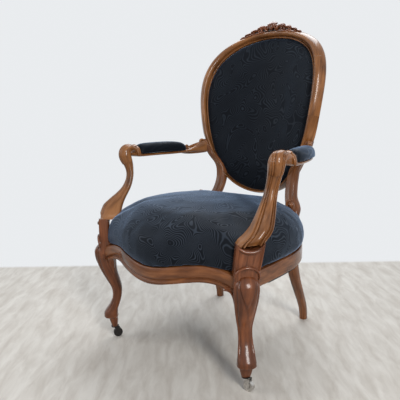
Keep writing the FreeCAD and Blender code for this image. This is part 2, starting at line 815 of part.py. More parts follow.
# Arm from its knuckle to the oval frame: way from the front leg to arm_end as a share, place to the
# side of the straight line between them as a share of block_width, height of its middle under
# arm_height and its half height as shares of arm_thick, half width as a share of arm_width
ARM_SHARES = (
    (0.181, 0.523, -1.1, 0.80, 0.24),
    (0.200, 0.541, -1.3, 1.70, 0.46),
    (0.242, 0.585, -1.4, 2.10, 0.60),
    (0.289, 0.666, -1.1, 1.90, 0.56),
    (0.340, 0.744, -0.3, 1.15, 0.50),
    (0.397, 0.809, 0.4, 0.62, 0.50),
    (0.541, 0.846, 0.5, 0.50, 0.50),
    (0.700, 0.777, 0.45, 0.55, 0.48),
    (0.819, 0.631, 0.1, 0.65, 0.42),
    (0.894, 0.512, -0.8, 1.40, 0.34),
    (0.951, 0.387, -2.0, 2.60, 0.30),
    (0.986, 0.280, -2.3, 3.30, 0.28),
)
ARM_END_SHARES = (0.5, -0.10)       # where it meets the frame's section, outwards and forwards

# Arm pad: places of its sections along the arm, as the arm's own, then its width and height there as
# shares of pad_width and pad_height
PAD_SHARES = (
    (0.410, 0.30, 0.30),
    (0.432, 0.74, 0.72),
    (0.477, 0.94, 0.94),
    (0.572, 1.00, 1.00),
    (0.676, 0.97, 0.98),
    (0.754, 0.85, 0.87),
    (0.792, 0.62, 0.64),
    (0.809, 0.26, 0.28),
)
PAD_END_SHARE = 0.05               # how far its seat runs past it, as a share of pad_width

# Pad's section, as shares of its half width and of its height
PAD_SECTION_SHARES = (
    (1.00, 0.00),
    (1.04, 0.32),
    (0.88, 0.68),
    (0.50, 0.93),
    (0.00, 1.00),
    (-0.50, 0.93),
    (-0.88, 0.68),
    (-1.04, 0.32),
    (-1.00, 0.00),
)


def support_top():
    return size.arm_height - size.arm_thick


def support_body(grow=0.0):
    """The arm support before its foot is shaped, grown on all its sides."""
    rings = []
    for up, right, back, wide, deep in SUPPORT_SHARES:
        middle = V(size.front_leg_x, 0, size.notch_low + up * (support_top() - size.notch_low))
        middle += V(right, back, 0) * size.block_width
        wide, deep = wide * size.block_width + grow, deep * size.block_width + grow
        rings.append(rounded_ring(middle, SIDE, OUT, wide, deep))
    return loft(rings)


def arm_support():
    return support_body().common(support_foot())


def arm_end():
    """Where the left arm's straight line ends, in the oval frame's side at the arm's height."""
    up = (size.arm_height - size.oval_mid_height) / cos(radians(size.back_rake))
    return oval_place(asin(up / size.oval_half_height))(*ARM_END_SHARES)


def arm_path():
    """Middles of the arm's sections, with their half heights and half widths."""
    start, end = V(size.front_leg_x, 0, 0), arm_end()
    stations = []
    for share, right, drop, high, wide in refined(ARM_SHARES):
        x = start.x + (end.x - start.x) * share + right * size.block_width
        middle = V(x, end.y * share, size.arm_height - drop * size.arm_thick)
        stations.append((middle, high * size.arm_thick, wide * size.arm_width))
    return stations


def level_side(before, after):
    """The level direction square to a run."""
    run = after - before
    return V(-run.y, run.x, 0).normalize()


def arm():
    stations = arm_path()
    rings = []
    for index, (middle, high, wide) in enumerate(stations):
        before = stations[max(index - 1, 0)][0]
        after = stations[min(index + 1, len(stations) - 1)][0]
        rings.append(rounded_ring(middle, level_side(before, after), UP, wide, high))
    return loft(rings).cut([arm_support(), oval_side(), rear_leg(), pad_seat()])


def arm_at(way):
    """The arm's middle line at a share of its way back, and its level side direction."""
    spots = [station[0] for station in arm_path()]
    y = way * arm_end().y
    for before, after in zip(spots, spots[1:]):
        if before.y <= y <= after.y:
            share = (y - before.y) / (after.y - before.y)
            spot = before + (after - before) * share
            return V(spot.x, spot.y, size.arm_height), level_side(before, after)
    return spots[-1], level_side(spots[-2], spots[-1])


def pad_seat():
    """The space over the arm that its pad takes."""
    first, last = arm_at(PAD_SHARES[0][0])[0], arm_at(PAD_SHARES[-1][0])[0]
    past = PAD_END_SHARE * size.pad_width
    corner = V(first.x - size.overrun / 2, first.y - past, size.arm_height)
    return Part.makeBox(size.overrun, last.y - first.y + 2 * past, size.overrun, corner)


def arm_pad():
    rings = []
    for back, wide, high in refined(PAD_SHARES):
        spot, side = arm_at(back)
        foot = V(spot.x, spot.y, size.arm_height + size.clearance)
        half, rise = wide * size.pad_width / 2, high * size.pad_height
        rings.append([foot + side * (across * half) + UP * (up * rise) for across, up in PAD_SECTION_SHARES])
    return loft(rings)


# Seat upholstery

# Seat cover's rings: size as a share of the plan about its highest point, and how far up from the
# rails to the crown
COVER_SHARES = (
    (1.000, 0.00),
    (1.026, 0.13),
    (1.032, 0.30),
    (1.000, 0.51),
    (0.905, 0.705),
    (0.710, 0.885),
    (0.360, 0.98),
)
STUFFING_SHARES = (
    (0.950, 0.00),
    (0.955, 0.28),
    (0.900, 0.54),
    (0.740, 0.76),
    (0.420, 0.90),
)
CAVITY_SHARE = 0.84                # the springs' space inside the stuffing
TOP_SHARE = 0.125                  # top of the stuffing under the crown, of that over the springs
REAR_EDGE_SHARES = (0.75, 0.4)     # places across of the seat outline's points behind the rear legs
DRAWN_SHARE = 1.3                  # how far the drawing in reaches from a front leg, in block widths
INSIDE_GAP_SHARE = 0.05            # gap round the legs of what the seat hides, in block widths


def seat_plan(lap):
    """The seat's outline on top of the rails, all the way round, moved in by lap."""
    front = []
    for share in FRONT_RAIL_SHARES[1:-1]:
        x, y, top, _ = front_rail_station(share)
        front.append(V(x, y + lap, top))
    top = size.knee_height + size.rail_height
    corner = on_leg(-size.block_face / 4, -size.block_face / 4, top)
    corner_out = on_leg(-size.block_face / 4, size.block_face, top)
    side = [point + UP * top for point in inset(side_plan(1), lap)[1:]]
    rear_y = side[-1].y
    rear = [V(size.rear_leg_x * share, rear_y, top) for share in REAR_EDGE_SHARES]
    half = front + [corner, corner_out] + side + rear
    first = front_rail_station(FRONT_RAIL_SHARES[0])
    loop = [V(0, first[1] + lap, first[2])] + half + [V(0, rear_y, top)]
    return loop + [V(-point.x, point.y, point.z) for point in reversed(half)]


def seat_ring(scale, rise, lap, lift=0.0, drawn=None, sink=0.0):
    """The outline scaled about the seat's highest point and raised towards the crown, less sink. Its
    front corners are drawn in as far as at that height, or at the height drawn."""
    middle = V(0, size.seat_mid, 0)
    crown = size.seat_crown - sink
    points = []
    for point in seat_plan(lap):
        flat = middle + (V(point.x, point.y, 0) - middle) * scale + corner_shift(point, drawn or rise)
        base = point.z + lift
        points.append(flat + UP * (base + rise * (crown - base)))
    return points


def corner_shift(point, rise):
    """How far a point near a front leg is drawn in, behind the foot of the arm support."""
    axis = V(copysign(size.front_leg_x, point.x), 0, 0)
    far = (V(point.x, point.y, 0) - axis).Length / (DRAWN_SHARE * size.block_width)
    draw = size.corner_draw * max(0, 1 - far) * min(1, 2 * rise)
    return V(-copysign(OUT.x, point.x), -OUT.y, 0) * draw


def seat_notches(grow):
    """What the seat leaves free round the legs and arm supports."""
    half = size.block_width / 2 + grow
    reach = half + size.block_lean
    left = -size.block_inner - grow
    high_front = leg_prism(-size.block_shelf - grow, size.overrun, left, reach, 0, block_top() + grow)
    front = high_front.fuse([lower_block(grow, grow), support_body(grow)])
    half_x, half_y = size.rear_block_width / 2 + grow, size.rear_block_depth / 2 + grow
    corner = V(size.rear_leg_x - half_x, size.rear_leg_y - half_y, size.knee_height)
    behind = Part.makeBox(2 * half_x, size.overrun, size.seat_crown - size.knee_height, corner)
    rear = rear_block_box(grow).fuse([stile(grow), behind])
    return [front, mirrored(front), rear, mirrored(rear)]


def apex(height):
    return [V(0, size.seat_mid, height)]


def stuffing_skin(gap, lift):
    """The stuffing's upper skin from the rails to its top, a gap inside its table's."""
    rings = []
    for scale, rise in STUFFING_SHARES:
        rings.append(seat_ring(scale - gap / size.seat_half, rise, size.cover_lap, lift, sink=gap))
    top = size.seat_crown - (size.seat_crown - size.spring_top) * TOP_SHARE
    return rings + [apex(top - lift - gap)]


def seat_cover():
    """The cover with its wadding: smooth outside, over the stuffing inside."""
    lift = size.clearance
    outer = [seat_ring(s, r, size.cover_lap, lift) for s, r in COVER_SHARES]
    inner = stuffing_skin(0, lift)
    shell = closed(skin(outer + [apex(size.seat_crown)]) + skin([outer[0], inner[0]]) + skin(inner))
    return shell.cut(seat_notches(size.clearance) + [front_rail()])


def seat_stuffing():
    lift = 2 * size.clearance
    outer = stuffing_skin(3 * size.clearance, lift)
    foot = seat_ring(CAVITY_SHARE, 0, size.cover_lap, lift, drawn=1)
    roof_height = size.spring_top + size.cloth_thick + 2 * size.clearance
    roof = [V(p.x, p.y, roof_height) for p in foot]
    shape = closed(skin(outer) + skin([outer[0], foot, roof, apex(roof_height)]))
    return shape.cut(seat_notches(INSIDE_GAP_SHARE * size.block_width) + [front_rail()])


def seat_hessian():
    """The cloth over the springs."""
    low = size.spring_top + size.clearance
    scale = CAVITY_SHARE - 4 * size.clearance / size.seat_half
    points = [V(p.x, p.y, low) for p in seat_ring(scale, 0, size.cover_lap, drawn=1)]
    cloth = prism(points, UP * size.cloth_thick)
    return cloth.cut(seat_notches(INSIDE_GAP_SHARE * size.block_width))


def spring_places():
    spots = []
    for column in (-1, 0, 1):
        for line in (-1, 0, 1):
            spots.append(V(column, line, 0) * size.spring_pitch + V(0, size.seat_mid, 0))
    return spots


def seat_springs():
    """Nine waisted springs, each drawn as the sleeve that its coils fill."""
    low, high = size.knee_height, size.spring_top
    middle = (low + high) / 2
    wide, waist, wall = size.spring_radius, size.spring_waist, size.spring_wall
    levels = ((low, wide), (middle, waist), (high, wide))
    across, along = V(1, 0, 0), V(0, 1, 0)
    outside = loft([flat_ring(UP * height, across, along, radius) for height, radius in levels])
    inside = loft([flat_ring(UP * height, across, along, radius - wall) for height, radius in levels])
    sleeve = outside.cut(inside)
    springs = []
    for spot in spring_places():
        spring = sleeve.copy()
        spring.translate(spot)
        springs.append(spring)
    return Part.makeCompound(springs)


def web_inner_front(x):
    """Inner face of the front rail at a distance from the middle."""
    last = None
    for share in FRONT_RAIL_SHARES:
        station = front_rail_station(share)
        if last and station[0] >= abs(x):
            part = (abs(x) - last[0]) / (station[0] - last[0])
            return last[1] + (station[1] - last[1]) * part + size.front_rail_thick
        last = station
    return last[1] + size.front_rail_thick


def side_reach(y):
    """Outer face of the side rail at a distance back."""
    points = side_plan()
    for before, after in zip(points, points[1:]):
        if before.y <= y <= after.y:
            return before.x + (after.x - before.x) * (y - before.y) / (after.y - before.y)
    return points[0].x


def seat_webbing():
    """Straps under the springs, three from front to back over three from side to side."""
    straps = []
    half = size.web_width / 2
    rear = size.rear_leg_y + size.rail_thick / 4
    for spot in spring_places()[::3]:
        front = max(web_inner_front(spot.x - half), web_inner_front(spot.x + half)) + size.clearance
        corner = V(spot.x - half, front, size.knee_height - size.web_thick)
        straps.append(Part.makeBox(size.web_width, rear - front, size.web_thick, corner))
    for spot in spring_places()[:3]:
        near, far = spot.y - half, spot.y + half
        reach = min(side_reach(near), side_reach(far)) - size.rail_thick / 4
        corner = V(-reach, near, size.knee_height - 2 * size.web_thick)
        straps.append(Part.makeBox(2 * reach, size.web_width, size.web_thick, corner))
    leg = front_leg()
    return straps[0].fuse(straps[1:]).cut([leg, mirrored(leg)])


def dust_cloth():
    """The lining under the seat."""
    low = size.knee_height - 2 * size.web_thick - size.cloth_thick - size.clearance
    rail = size.rail_thick / 4
    side = [point + UP * low for point in inset(side_plan(), rail)[1:-1]]
    front_y = web_inner_front(0) + size.clearance
    corner = on_leg(-size.block_back - size.clearance, size.block_width / 2, low)
    inner = on_leg(-size.block_back - size.clearance, -size.block_width / 2, low)
    rear_y = size.rear_leg_y + rail
    leg_x = size.rear_leg_x - size.rear_block_width / 2 - size.clearance
    leg_y = size.rear_leg_y - size.rear_block_depth / 2 - size.clearance
    side = [point for point in side if corner.y < point.y < leg_y]
    start_x = size.front_rail_reach * FRONT_RAIL_SHARES[3][0]
    front = [V(start_x / 2, web_inner_front(start_x / 2) + size.clearance, low)]
    front.append(V(start_x, web_inner_front(start_x) + size.clearance, low))
    half = front + [inner, corner] + side
    half += [V(leg_x + size.rear_block_width, leg_y, low), V(leg_x, leg_y, low), V(leg_x, rear_y, low)]
    loop = [V(0, front_y, low)] + half
    loop += [V(-point.x, point.y, point.z) for point in reversed(half)]
    return prism(loop, UP * size.cloth_thick)


# Back upholstery

SHEET_SHARES = (1.0, 0.7, 0.35)
STRAP_SHARES = (-0.7, 0.0, 0.7)     # the back straps' places across the opening
STRAP_STEPS = 6                     # lengths of a back strap


def oval_ring(scale, out, forward):
    """The opening's outline scaled about its middle, moved outwards and forwards."""
    points = []
    for turn in rim_turns():
        across, up = oval_flat(turn)
        length = hypot(across, up)
        grow = scale * (1 + out / length)
        side, rise, front = back_axes(across * grow, up * grow)
        points.append(back_point(across * grow, up * grow) + front * forward)
    return points


def back_apex(forward):
    side, rise, front = back_axes(0, 0)
    return [back_point(0, 0) + front * forward]


# Back pad's front: size as a share of the opening, and swell as a share of back_swell
BACK_PAD_SHARES = (
    (1.000, -0.10),
    (0.985, 0.20),
    (0.945, 0.50),
    (0.860, 0.76),
    (0.680, 0.92),
    (0.360, 0.99),
)


def back_pad():
    """The back's stuffing and front cover, seated in the oval frame."""
    gap = -size.clearance
    front = [oval_ring(s, gap, f * size.back_swell) for s, f in BACK_PAD_SHARES]
    rear = BACK_PAD_SHARES[0][1] * size.back_swell - size.web_thick
    behind = sheet_rings(rear)
    swell = skin(front + [back_apex(size.back_swell)])
    return closed(swell + skin([front[0], behind[0]]) + skin(behind))


def sheet_rings(forward):
    """Rings that shrink to the middle of a cloth stretched over the opening."""
    rings = [oval_ring(share, -size.clearance, forward) for share in SHEET_SHARES]
    return rings + [back_apex(forward)]


def back_sheet(rear, thick):
    """A cloth stretched over the opening, as a curved sheet."""
    behind, before = sheet_rings(rear), sheet_rings(rear + thick)
    return closed(skin(behind) + skin([behind[0], before[0]]) + skin(before))


def outside_back():
    return back_sheet(-0.40 * size.rim_depth, size.cloth_thick)


def opening_plug():
    """All that lies inside the oval frame's opening."""
    rear, front = (oval_ring(1, -size.clearance, forward) for forward in (-size.rim_depth, size.rim_depth))
    ends = back_apex(-size.rim_depth), back_apex(size.rim_depth)
    return closed(skin([rear, front, ends[1]]) + skin([rear, ends[0]]))


def strap_section(across, up, forward):
    """A back strap's section at a height, laid on the back's surface."""
    section = []
    for share, thick in ((-0.5, 0), (0.5, 0), (0.5, 1), (-0.5, 1)):
        place = across + share * size.web_width
        side, rise, front = back_axes(place, up)
        section.append(back_point(place, up) + front * (forward + thick * size.web_thick))
    return section


def back_webbing():
    """Straps up the back, between its two cloths, as long as the opening is high there."""
    straps = []
    forward = BACK_PAD_SHARES[0][1] * size.back_swell - 3 * size.web_thick
    for column in STRAP_SHARES:
        across = column * size.oval_half_width
        heights = [(2 * step / STRAP_STEPS - 1) * size.oval_half_height for step in range(STRAP_STEPS + 1)]
        sections = [strap_section(across, up, forward) for up in heights]
        start, end = ([(section[0] + section[2]) / 2] for section in (sections[0], sections[-1]))
        strap = closed(skin(sections + [end]) + skin([sections[0], start]))
        straps.append(strap.common(opening_plug()))
    return Part.makeCompound(straps)


# The document's own features


def feature(label, shape):
    """A sub-part drawn by formula."""
    item = doc.addObject("Part::Feature", label)
    item.Label = label
    item.Shape = shape
    item.Placement = FreeCAD.Placement(V(0, -size.mid_depth, 0), FreeCAD.Rotation())
    return item


def pair(label, shape):
    """A left sub-part and its mirror image."""
    return [feature(label + "_left", shape), feature(label + "_right", mirrored(shape))]


subparts = []
subparts += pair("front_leg", front_leg())
subparts += pair("rear_leg", rear_leg())
subparts.append(feature("front_seat_rail", front_rail()))
subparts += pair("side_seat_rail", side_rail())
subparts += pair("front_corner_brace", front_brace())
subparts += pair("rear_corner_brace", rear_brace())
subparts.append(feature("back_top_rail", oval_top()))
subparts += pair("back_side_rail", oval_side())
subparts.append(feature("back_bottom_rail", oval_low()))
subparts.append(feature("crest_carving", crest_carving()))
subparts += pair("arm_support", arm_support())
subparts += pair("arm", arm())
subparts += pair("arm_pad", arm_pad())
subparts.append(feature("seat_webbing", seat_webbing()))
subparts.append(feature("seat_springs", seat_springs()))
subparts.append(feature("seat_hessian", seat_hessian()))
subparts.append(feature("seat_stuffing", seat_stuffing()))
subparts.append(feature("seat_cover", seat_cover()))
subparts.append(feature("seat_dust_cloth", dust_cloth()))
subparts.append(feature("back_webbing", back_webbing()))
subparts.append(feature("back_pad", back_pad()))
subparts.append(feature("back_outside_cover", outside_back()))


def bound(kind, name, **expressions):
    """A primitive whose sizes follow the sheet."""
    item = doc.addObject(kind, name)
    for prop, expression in expressions.items():
        item.setExpression(prop.replace("_", "."), expression)
    return item


def boolean(kind, name, first, others):
    item = doc.addObject(kind, name)
    if kind == "Part::Cut":
        item.Base, item.Tool = first, others[0]
    else:
        item.Shapes = [first] + others
    return item


# Back seat rail, a board with a tenon at each end
board = bound(
    "Part::Box",
    "BackBoard",
    Length="2 * (Sizes.rear_leg_x - Sizes.rear_block_width / 2)",
    Width="Sizes.rail_thick",
    Height="Sizes.rail_height",
    Placement_Base_x="-(Sizes.rear_leg_x - Sizes.rear_block_width / 2)",
    Placement_Base_y="Sizes.rear_leg_y - Sizes.rail_thick / 2 - Sizes.mid_depth",
    Placement_Base_z="Sizes.knee_height",
)
tongue = bound(
    "Part::Box",
    "BackTenons",
    Length="2 * (Sizes.rear_leg_x - Sizes.rear_block_width / 2 + Sizes.tenon_length)",
    Width="Sizes.tenon_thick",
    Height="Sizes.tenon_height",
    Placement_Base_x="-(Sizes.rear_leg_x - Sizes.rear_block_width / 2 + Sizes.tenon_length)",
    Placement_Base_y="Sizes.rear_leg_y - Sizes.tenon_thick / 2 - Sizes.mid_depth",
    Placement_Base_z="Sizes.knee_height + (Sizes.rail_height - Sizes.tenon_height) / 2",
)
back_rail = boolean("Part::MultiFuse", "BackSeatRail", board, [tongue])
back_rail.Label = "back_seat_rail"
subparts.append(back_rail)

# Casters
CASTER_TURNS = {"left": 0.0, "right": 60.0}       # where each wheel trails at rest, in degrees


def caster(hand):
    """A plate with its screw and swivel pin, a fork, an axle and a wheel, on one leg's swivel axis."""
    peg = peg_axis()
    x = peg.x if hand == "left" else -peg.x
    name = "Caster" + hand.title()
    plate_low = "(Sizes.foot_height - Sizes.plate_thick)"
    crown_top = f"({plate_low} - Sizes.clearance)"
    crown_low = f"({crown_top} - Sizes.fork_wall)"
    head = "(2 * Sizes.fork_wall / 3)"

    plate = bound(
        "Part::Cylinder",
        name + "Plate",
        Radius="Sizes.plate_radius",
        Height="Sizes.plate_thick",
        Placement_Base_z=plate_low,
    )
    screw = bound(
        "Part::Prism",
        name + "Screw",
        Circumradius="Sizes.screw_radius",
        Height="Sizes.screw_length",
        Placement_Base_z="Sizes.foot_height",
    )
    screw.Polygon = FLATS
    screw.Placement.Rotation = FreeCAD.Rotation(UP, 180 / FLATS - CASTER_TURNS[hand])
    pin = bound(
        "Part::Cylinder",
        name + "Pin",
        Radius="Sizes.pin_radius",
        Height=f"{plate_low} - {crown_low} + Sizes.clearance",
        Placement_Base_z=f"{crown_low} - Sizes.clearance",
    )
    rivet = bound(
        "Part::Prism",
        name + "PinHead",
        Circumradius="Sizes.pin_head",
        Height=head,
        Placement_Base_z=f"{crown_low} - Sizes.clearance - {head}",
    )
    rivet.Polygon = FLATS
    socket = boolean("Part::MultiFuse", name + "Socket", plate, [screw, pin, rivet])
    socket.Label = "caster_plate_" + hand

    crown = bound(
        "Part::Cylinder",
        name + "Crown",
        Radius="Sizes.fork_radius",
        Height="Sizes.fork_wall",
        Placement_Base_z=crown_low,
    )
    cheeks = []
    for side, offset in (("A", "Sizes.fork_gap / 2"), ("B", "-Sizes.fork_gap / 2 - Sizes.fork_wall")):
        cheek = bound(
            "Part::Box",
            name + "Cheek" + side,
            Length="Sizes.trail + Sizes.axle_radius * 2",
            Width="Sizes.fork_wall",
            Height=f"{crown_top} - Sizes.wheel_radius + Sizes.axle_radius * 2",
            Placement_Base_x="0",
            Placement_Base_y=offset,
            Placement_Base_z="Sizes.wheel_radius - Sizes.axle_radius * 2",
        )
        cheeks.append(cheek)
    solid_fork = boolean("Part::MultiFuse", name + "ForkSolid", crown, cheeks)
    swivel_hole = bound(
        "Part::Cylinder",
        name + "SwivelHole",
        Radius="Sizes.pin_radius + Sizes.play",
        Height="Sizes.foot_height",
        Placement_Base_z="Sizes.wheel_radius",
    )
    axle_hole = bound(
        "Part::Cylinder",
        name + "AxleHole",
        Radius="Sizes.axle_radius",
        Height="2 * Sizes.fork_gap",
        Placement_Base_x="Sizes.trail",
        Placement_Base_y="Sizes.fork_gap",
        Placement_Base_z="Sizes.wheel_radius",
    )
    lying = FreeCAD.Rotation(V(1, 0, 0), 90)
    axle_hole.Placement.Rotation = lying
    holes = boolean("Part::MultiFuse", name + "ForkHoles", swivel_hole, [axle_hole])
    fork = boolean("Part::Cut", name + "Fork", solid_fork, [holes])
    fork.Label = "caster_fork_" + hand

    axle = bound(
        "Part::Cylinder",
        name + "Axle",
        Radius="Sizes.axle_radius",
        Height="Sizes.fork_gap + 2 * Sizes.fork_wall",
    )
    axle_end = V(size.trail, size.fork_gap / 2 + size.fork_wall, size.wheel_radius)
    axle.Placement = FreeCAD.Placement(axle_end, lying)
    axle.Label = "caster_axle_" + hand

    tread = bound(
        "Part::Cylinder",
        name + "Tread",
        Radius="Sizes.wheel_radius",
        Height="Sizes.wheel_width",
        Placement_Base_x="Sizes.trail",
        Placement_Base_y="Sizes.wheel_width / 2",
        Placement_Base_z="Sizes.wheel_radius",
    )
    tread.Placement.Rotation = lying
    bore = bound(
        "Part::Cylinder",
        name + "Bore",
        Radius="Sizes.axle_radius + Sizes.play",
        Height="2 * Sizes.wheel_width",
        Placement_Base_x="Sizes.trail",
        Placement_Base_y="Sizes.wheel_width",
        Placement_Base_z="Sizes.wheel_radius",
    )
    bore.Placement.Rotation = lying
    wheel = boolean("Part::Cut", name + "Wheel", tread, [bore])
    wheel.Label = "caster_wheel_" + hand

    turn = FreeCAD.Rotation(UP, CASTER_TURNS[hand])
    where = FreeCAD.Placement(V(x, peg.y - size.mid_depth, 0), turn)
    return [socket, fork, axle, wheel], where


finals = []
for hand in CASTER_TURNS:
    pieces, where = caster(hand)
    finals.append((pieces, where))
doc.recompute()
for pieces, where in finals:
    for piece in pieces:
        piece.Placement = where.multiply(piece.Placement)
        subparts.append(piece)
doc.recompute()

for item in doc.Objects:
    if "Invalid" in item.State or "Error" in item.State:
        raise RuntimeError(f"{item.Label} failed: {item.State}")
os.makedirs("parts", exist_ok=True)
for item in subparts:
    shape = item.Shape
    if shape.isNull() or not shape.isValid() or not shape.Solids:
        raise RuntimeError(f"{item.Label} is not a valid solid")
    shape.exportStep(f"parts/{item.Label}.step")
    print(f"{item.Label}: {len(shape.Solids)} solids, {shape.Volume:.0f} mm3")
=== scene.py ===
"""Open armchair with a carved, polished frame and dark moire cloth, dressed over its CAD frame.

Shapes are worked out in millimetres, with Y measured from the line through the front feet, and
placed() turns them into metres in the shared frame. The sitter faces -Y, so the left is +X. Left
pieces are drawn, and right ones are their mirror images.
"""
import bpy
import numpy as np
from math import pi, radians
from mathutils import Matrix, Vector

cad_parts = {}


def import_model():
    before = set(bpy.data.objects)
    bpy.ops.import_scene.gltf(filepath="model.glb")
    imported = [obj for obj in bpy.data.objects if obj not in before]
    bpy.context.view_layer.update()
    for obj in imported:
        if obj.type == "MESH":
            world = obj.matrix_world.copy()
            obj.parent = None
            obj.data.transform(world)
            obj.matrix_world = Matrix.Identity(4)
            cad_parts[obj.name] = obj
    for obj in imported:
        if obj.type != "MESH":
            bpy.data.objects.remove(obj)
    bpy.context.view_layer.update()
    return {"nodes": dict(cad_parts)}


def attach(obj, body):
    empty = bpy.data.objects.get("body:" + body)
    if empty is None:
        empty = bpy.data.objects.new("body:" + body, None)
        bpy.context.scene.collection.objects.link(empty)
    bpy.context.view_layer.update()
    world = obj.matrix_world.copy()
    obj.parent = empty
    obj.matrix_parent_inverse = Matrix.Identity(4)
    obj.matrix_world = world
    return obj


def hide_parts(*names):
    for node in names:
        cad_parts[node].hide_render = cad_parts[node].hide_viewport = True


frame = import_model()

# Sizes of the CAD frame, in millimetres

MID_DEPTH = 259.8                  # front foot line to the middle of the chair
LEG_X = 274.0                      # middle plane to a front leg's axis
KNEE, RAIL = 303.0, 44.0           # floor to the rails' underside, and their height
FOOT = 41.0                        # floor to a front leg's peg
BLOCK = 76.0                       # front leg's block across its face
BLOCK_FACE, BLOCK_SHELF = 22.0, 9.0                # leg's axis to its face and its shelf
BLOCK_INNER, BLOCK_OUTER, BLOCK_BACK = 39.0, 31.0, 33.0
BLOCK_LEAN = 15.0                  # how far the block's top leans to the side rail
NOTCH_LOW, NOTCH_RADIUS = 408.0, 53.0
SEAT_HALF = 302.0                  # half the seat's greatest width
REAR_X, REAR_Y = 190.0, 415.0      # a rear leg's middle
REAR_WIDE, REAR_DEEP, REAR_SPLAY = 40.0, 44.0, 108.0
ARM_HEIGHT, ARM_THICK, ARM_WIDE = 617.0, 10.0, 38.0
PAD_WIDE, PAD_HIGH = 54.0, 38.0
OVAL_HALF, OVAL_HIGH = 211.7, 280.0                # half sizes of the back's opening
OVAL_Z, OVAL_Y = 745.9, 553.6      # middle of the opening
RAKE = radians(8.53)
SPOON = 69.6                       # how far the back's sides come forward
RIM_WIDE, RIM_TOP, RIM_LOW = 29.5, 29.0, 12.5      # oval frame's width at its side, top and foot
RIM_SWELL, RIM_DEEP = 9.0, 32.0
BACK_SWELL = 24.0                  # crown of the back's stuffing

UP = np.array([0.0, 0.0, 1.0])
OUT = np.array([1.0, -1.0, 0.0]) / 2**0.5          # the left leg's outward direction
SIDE = np.array([1.0, 1.0, 0.0]) / 2**0.5
GRAIN_SHIFT = 0.37                 # metres between the grain of one shell and the next


# Numbers and surfaces


def placed(points):
    """Millimetres from the front foot line, as metres in the shared frame."""
    return (np.asarray(points, float) - (0.0, MID_DEPTH, 0.0)) / 1000


def curve(rows, count, closed=False):
    """Evenly spaced points of the Catmull-Rom curve through a table's rows: each span is the cubic
    that passes its two rows with the slopes of their neighbours."""
    rows = np.asarray(rows, float)
    if closed:
        t = np.arange(count) * len(rows) / count
        start = np.floor(t).astype(int)
        a, b, c, d = (rows[(start + shift) % len(rows)] for shift in (-1, 0, 1, 2))
    else:
        last = len(rows) - 1
        t = np.linspace(0, last, count)
        start = np.minimum(np.floor(t).astype(int), last - 1)
        a, b, c, d = (rows[np.clip(start + shift, 0, last)] for shift in (-1, 0, 1, 2))
    u = (t - start)[:, None]
    square, cube = a - (5 * b - 4 * c + d) / 2, (d - a) / 2 + 1.5 * (b - c)
    return b + u * (c - a) / 2 + u**2 * square + u**3 * cube


def arrays(*values):
    """Numbers or lists of them, as arrays of one shape."""
    return np.broadcast_arrays(*(np.asarray(value, float) for value in values))


def xyz(x, y, z):
    """Points from their coordinates, some of which may be one number for all."""
    return np.stack(np.broadcast_arrays(x, y, z), -1)


def unit(vectors):
    """The same directions, each of length 1."""
    vectors = np.asarray(vectors, float)
    return vectors / np.maximum(np.linalg.norm(vectors, axis=-1, keepdims=True), 1e-9)


def along_line(points):
    """Directions along a line of points."""
    return unit(np.gradient(points, axis=0))


def bump(value, middle, width):
    """A bell: exp(-((value - middle) / width)^2)."""
    return np.exp(-(((value - middle) / width) ** 2))


def rise(value, low, high):
    """A smooth step from 0 at low to 1 at high: 3t^2 - 2t^3."""
    t = np.clip((value - low) / (high - low), 0, 1)
    return t * t * (3 - 2 * t)


def between(value, low, full, fading, high):
    """A smooth step up from low to full, and down again from fading to high."""
    return rise(value, low, full) * (1 - rise(value, fading, high))


def turns_of(around):
    """Even angles once round a ring."""
    return 2 * pi * np.arange(around) / around


def tube(middles, across, along, half_across, half_along, around, fullness=1.0):
    """Rings round a line of middles: across * |cos|^f + along * |sin|^f, with their signs, so f =
    1 gives an oval and a small f a rounded rectangle."""
    middles = np.asarray(middles, float)
    across, along = (np.broadcast_to(way, middles.shape)[:, None] for way in (across, along))
    half_across, half_along, power = (
        np.broadcast_to(value, len(middles))[:, None]
        for value in (half_across, half_along, fullness)
    )
    waves = (np.cos(turns_of(around)), np.sin(turns_of(around)))
    c, s = (np.sign(wave) * np.abs(wave) ** power for wave in waves)
    sideways = across * (half_across * c)[..., None]
    return middles[:, None] + sideways + along * (half_along * s)[..., None]


def raised(grid, height, loop=False):
    """The surface moved along its own normals, the cross product of its two tangents, away from
    the middles of its rings."""
    if loop:
        ahead = np.roll(grid, -1, 0) - np.roll(grid, 1, 0)
    else:
        ahead = np.gradient(grid, axis=0)
    beside = np.roll(grid, -1, 1) - np.roll(grid, 1, 1)
    normals = unit(np.cross(beside, ahead))
    outwards = np.sign((normals * (grid - grid.mean(1, keepdims=True))).sum())
    return grid + normals * (outwards * height)[..., None]


def rounded_ends(grid, reach, steps=5):
    """The rings with small ones added at both ends, which close them as quarter rounds."""
    first, last = [], []
    ends = ((grid[0], first, grid[0] - grid[1]), (grid[-1], last, grid[-1] - grid[-2]))
    for end, rows, ahead in ends:
        middle = end.mean(0)
        way = unit(ahead.mean(0))
        for step in range(1, steps + 1):
            turn = pi / 2 * step / (steps + 0.3)
            rows.append(middle + (end - middle) * np.cos(turn) + way * (reach * np.sin(turn)))
    return np.concatenate([np.array(first[::-1]), grid, np.array(last)])


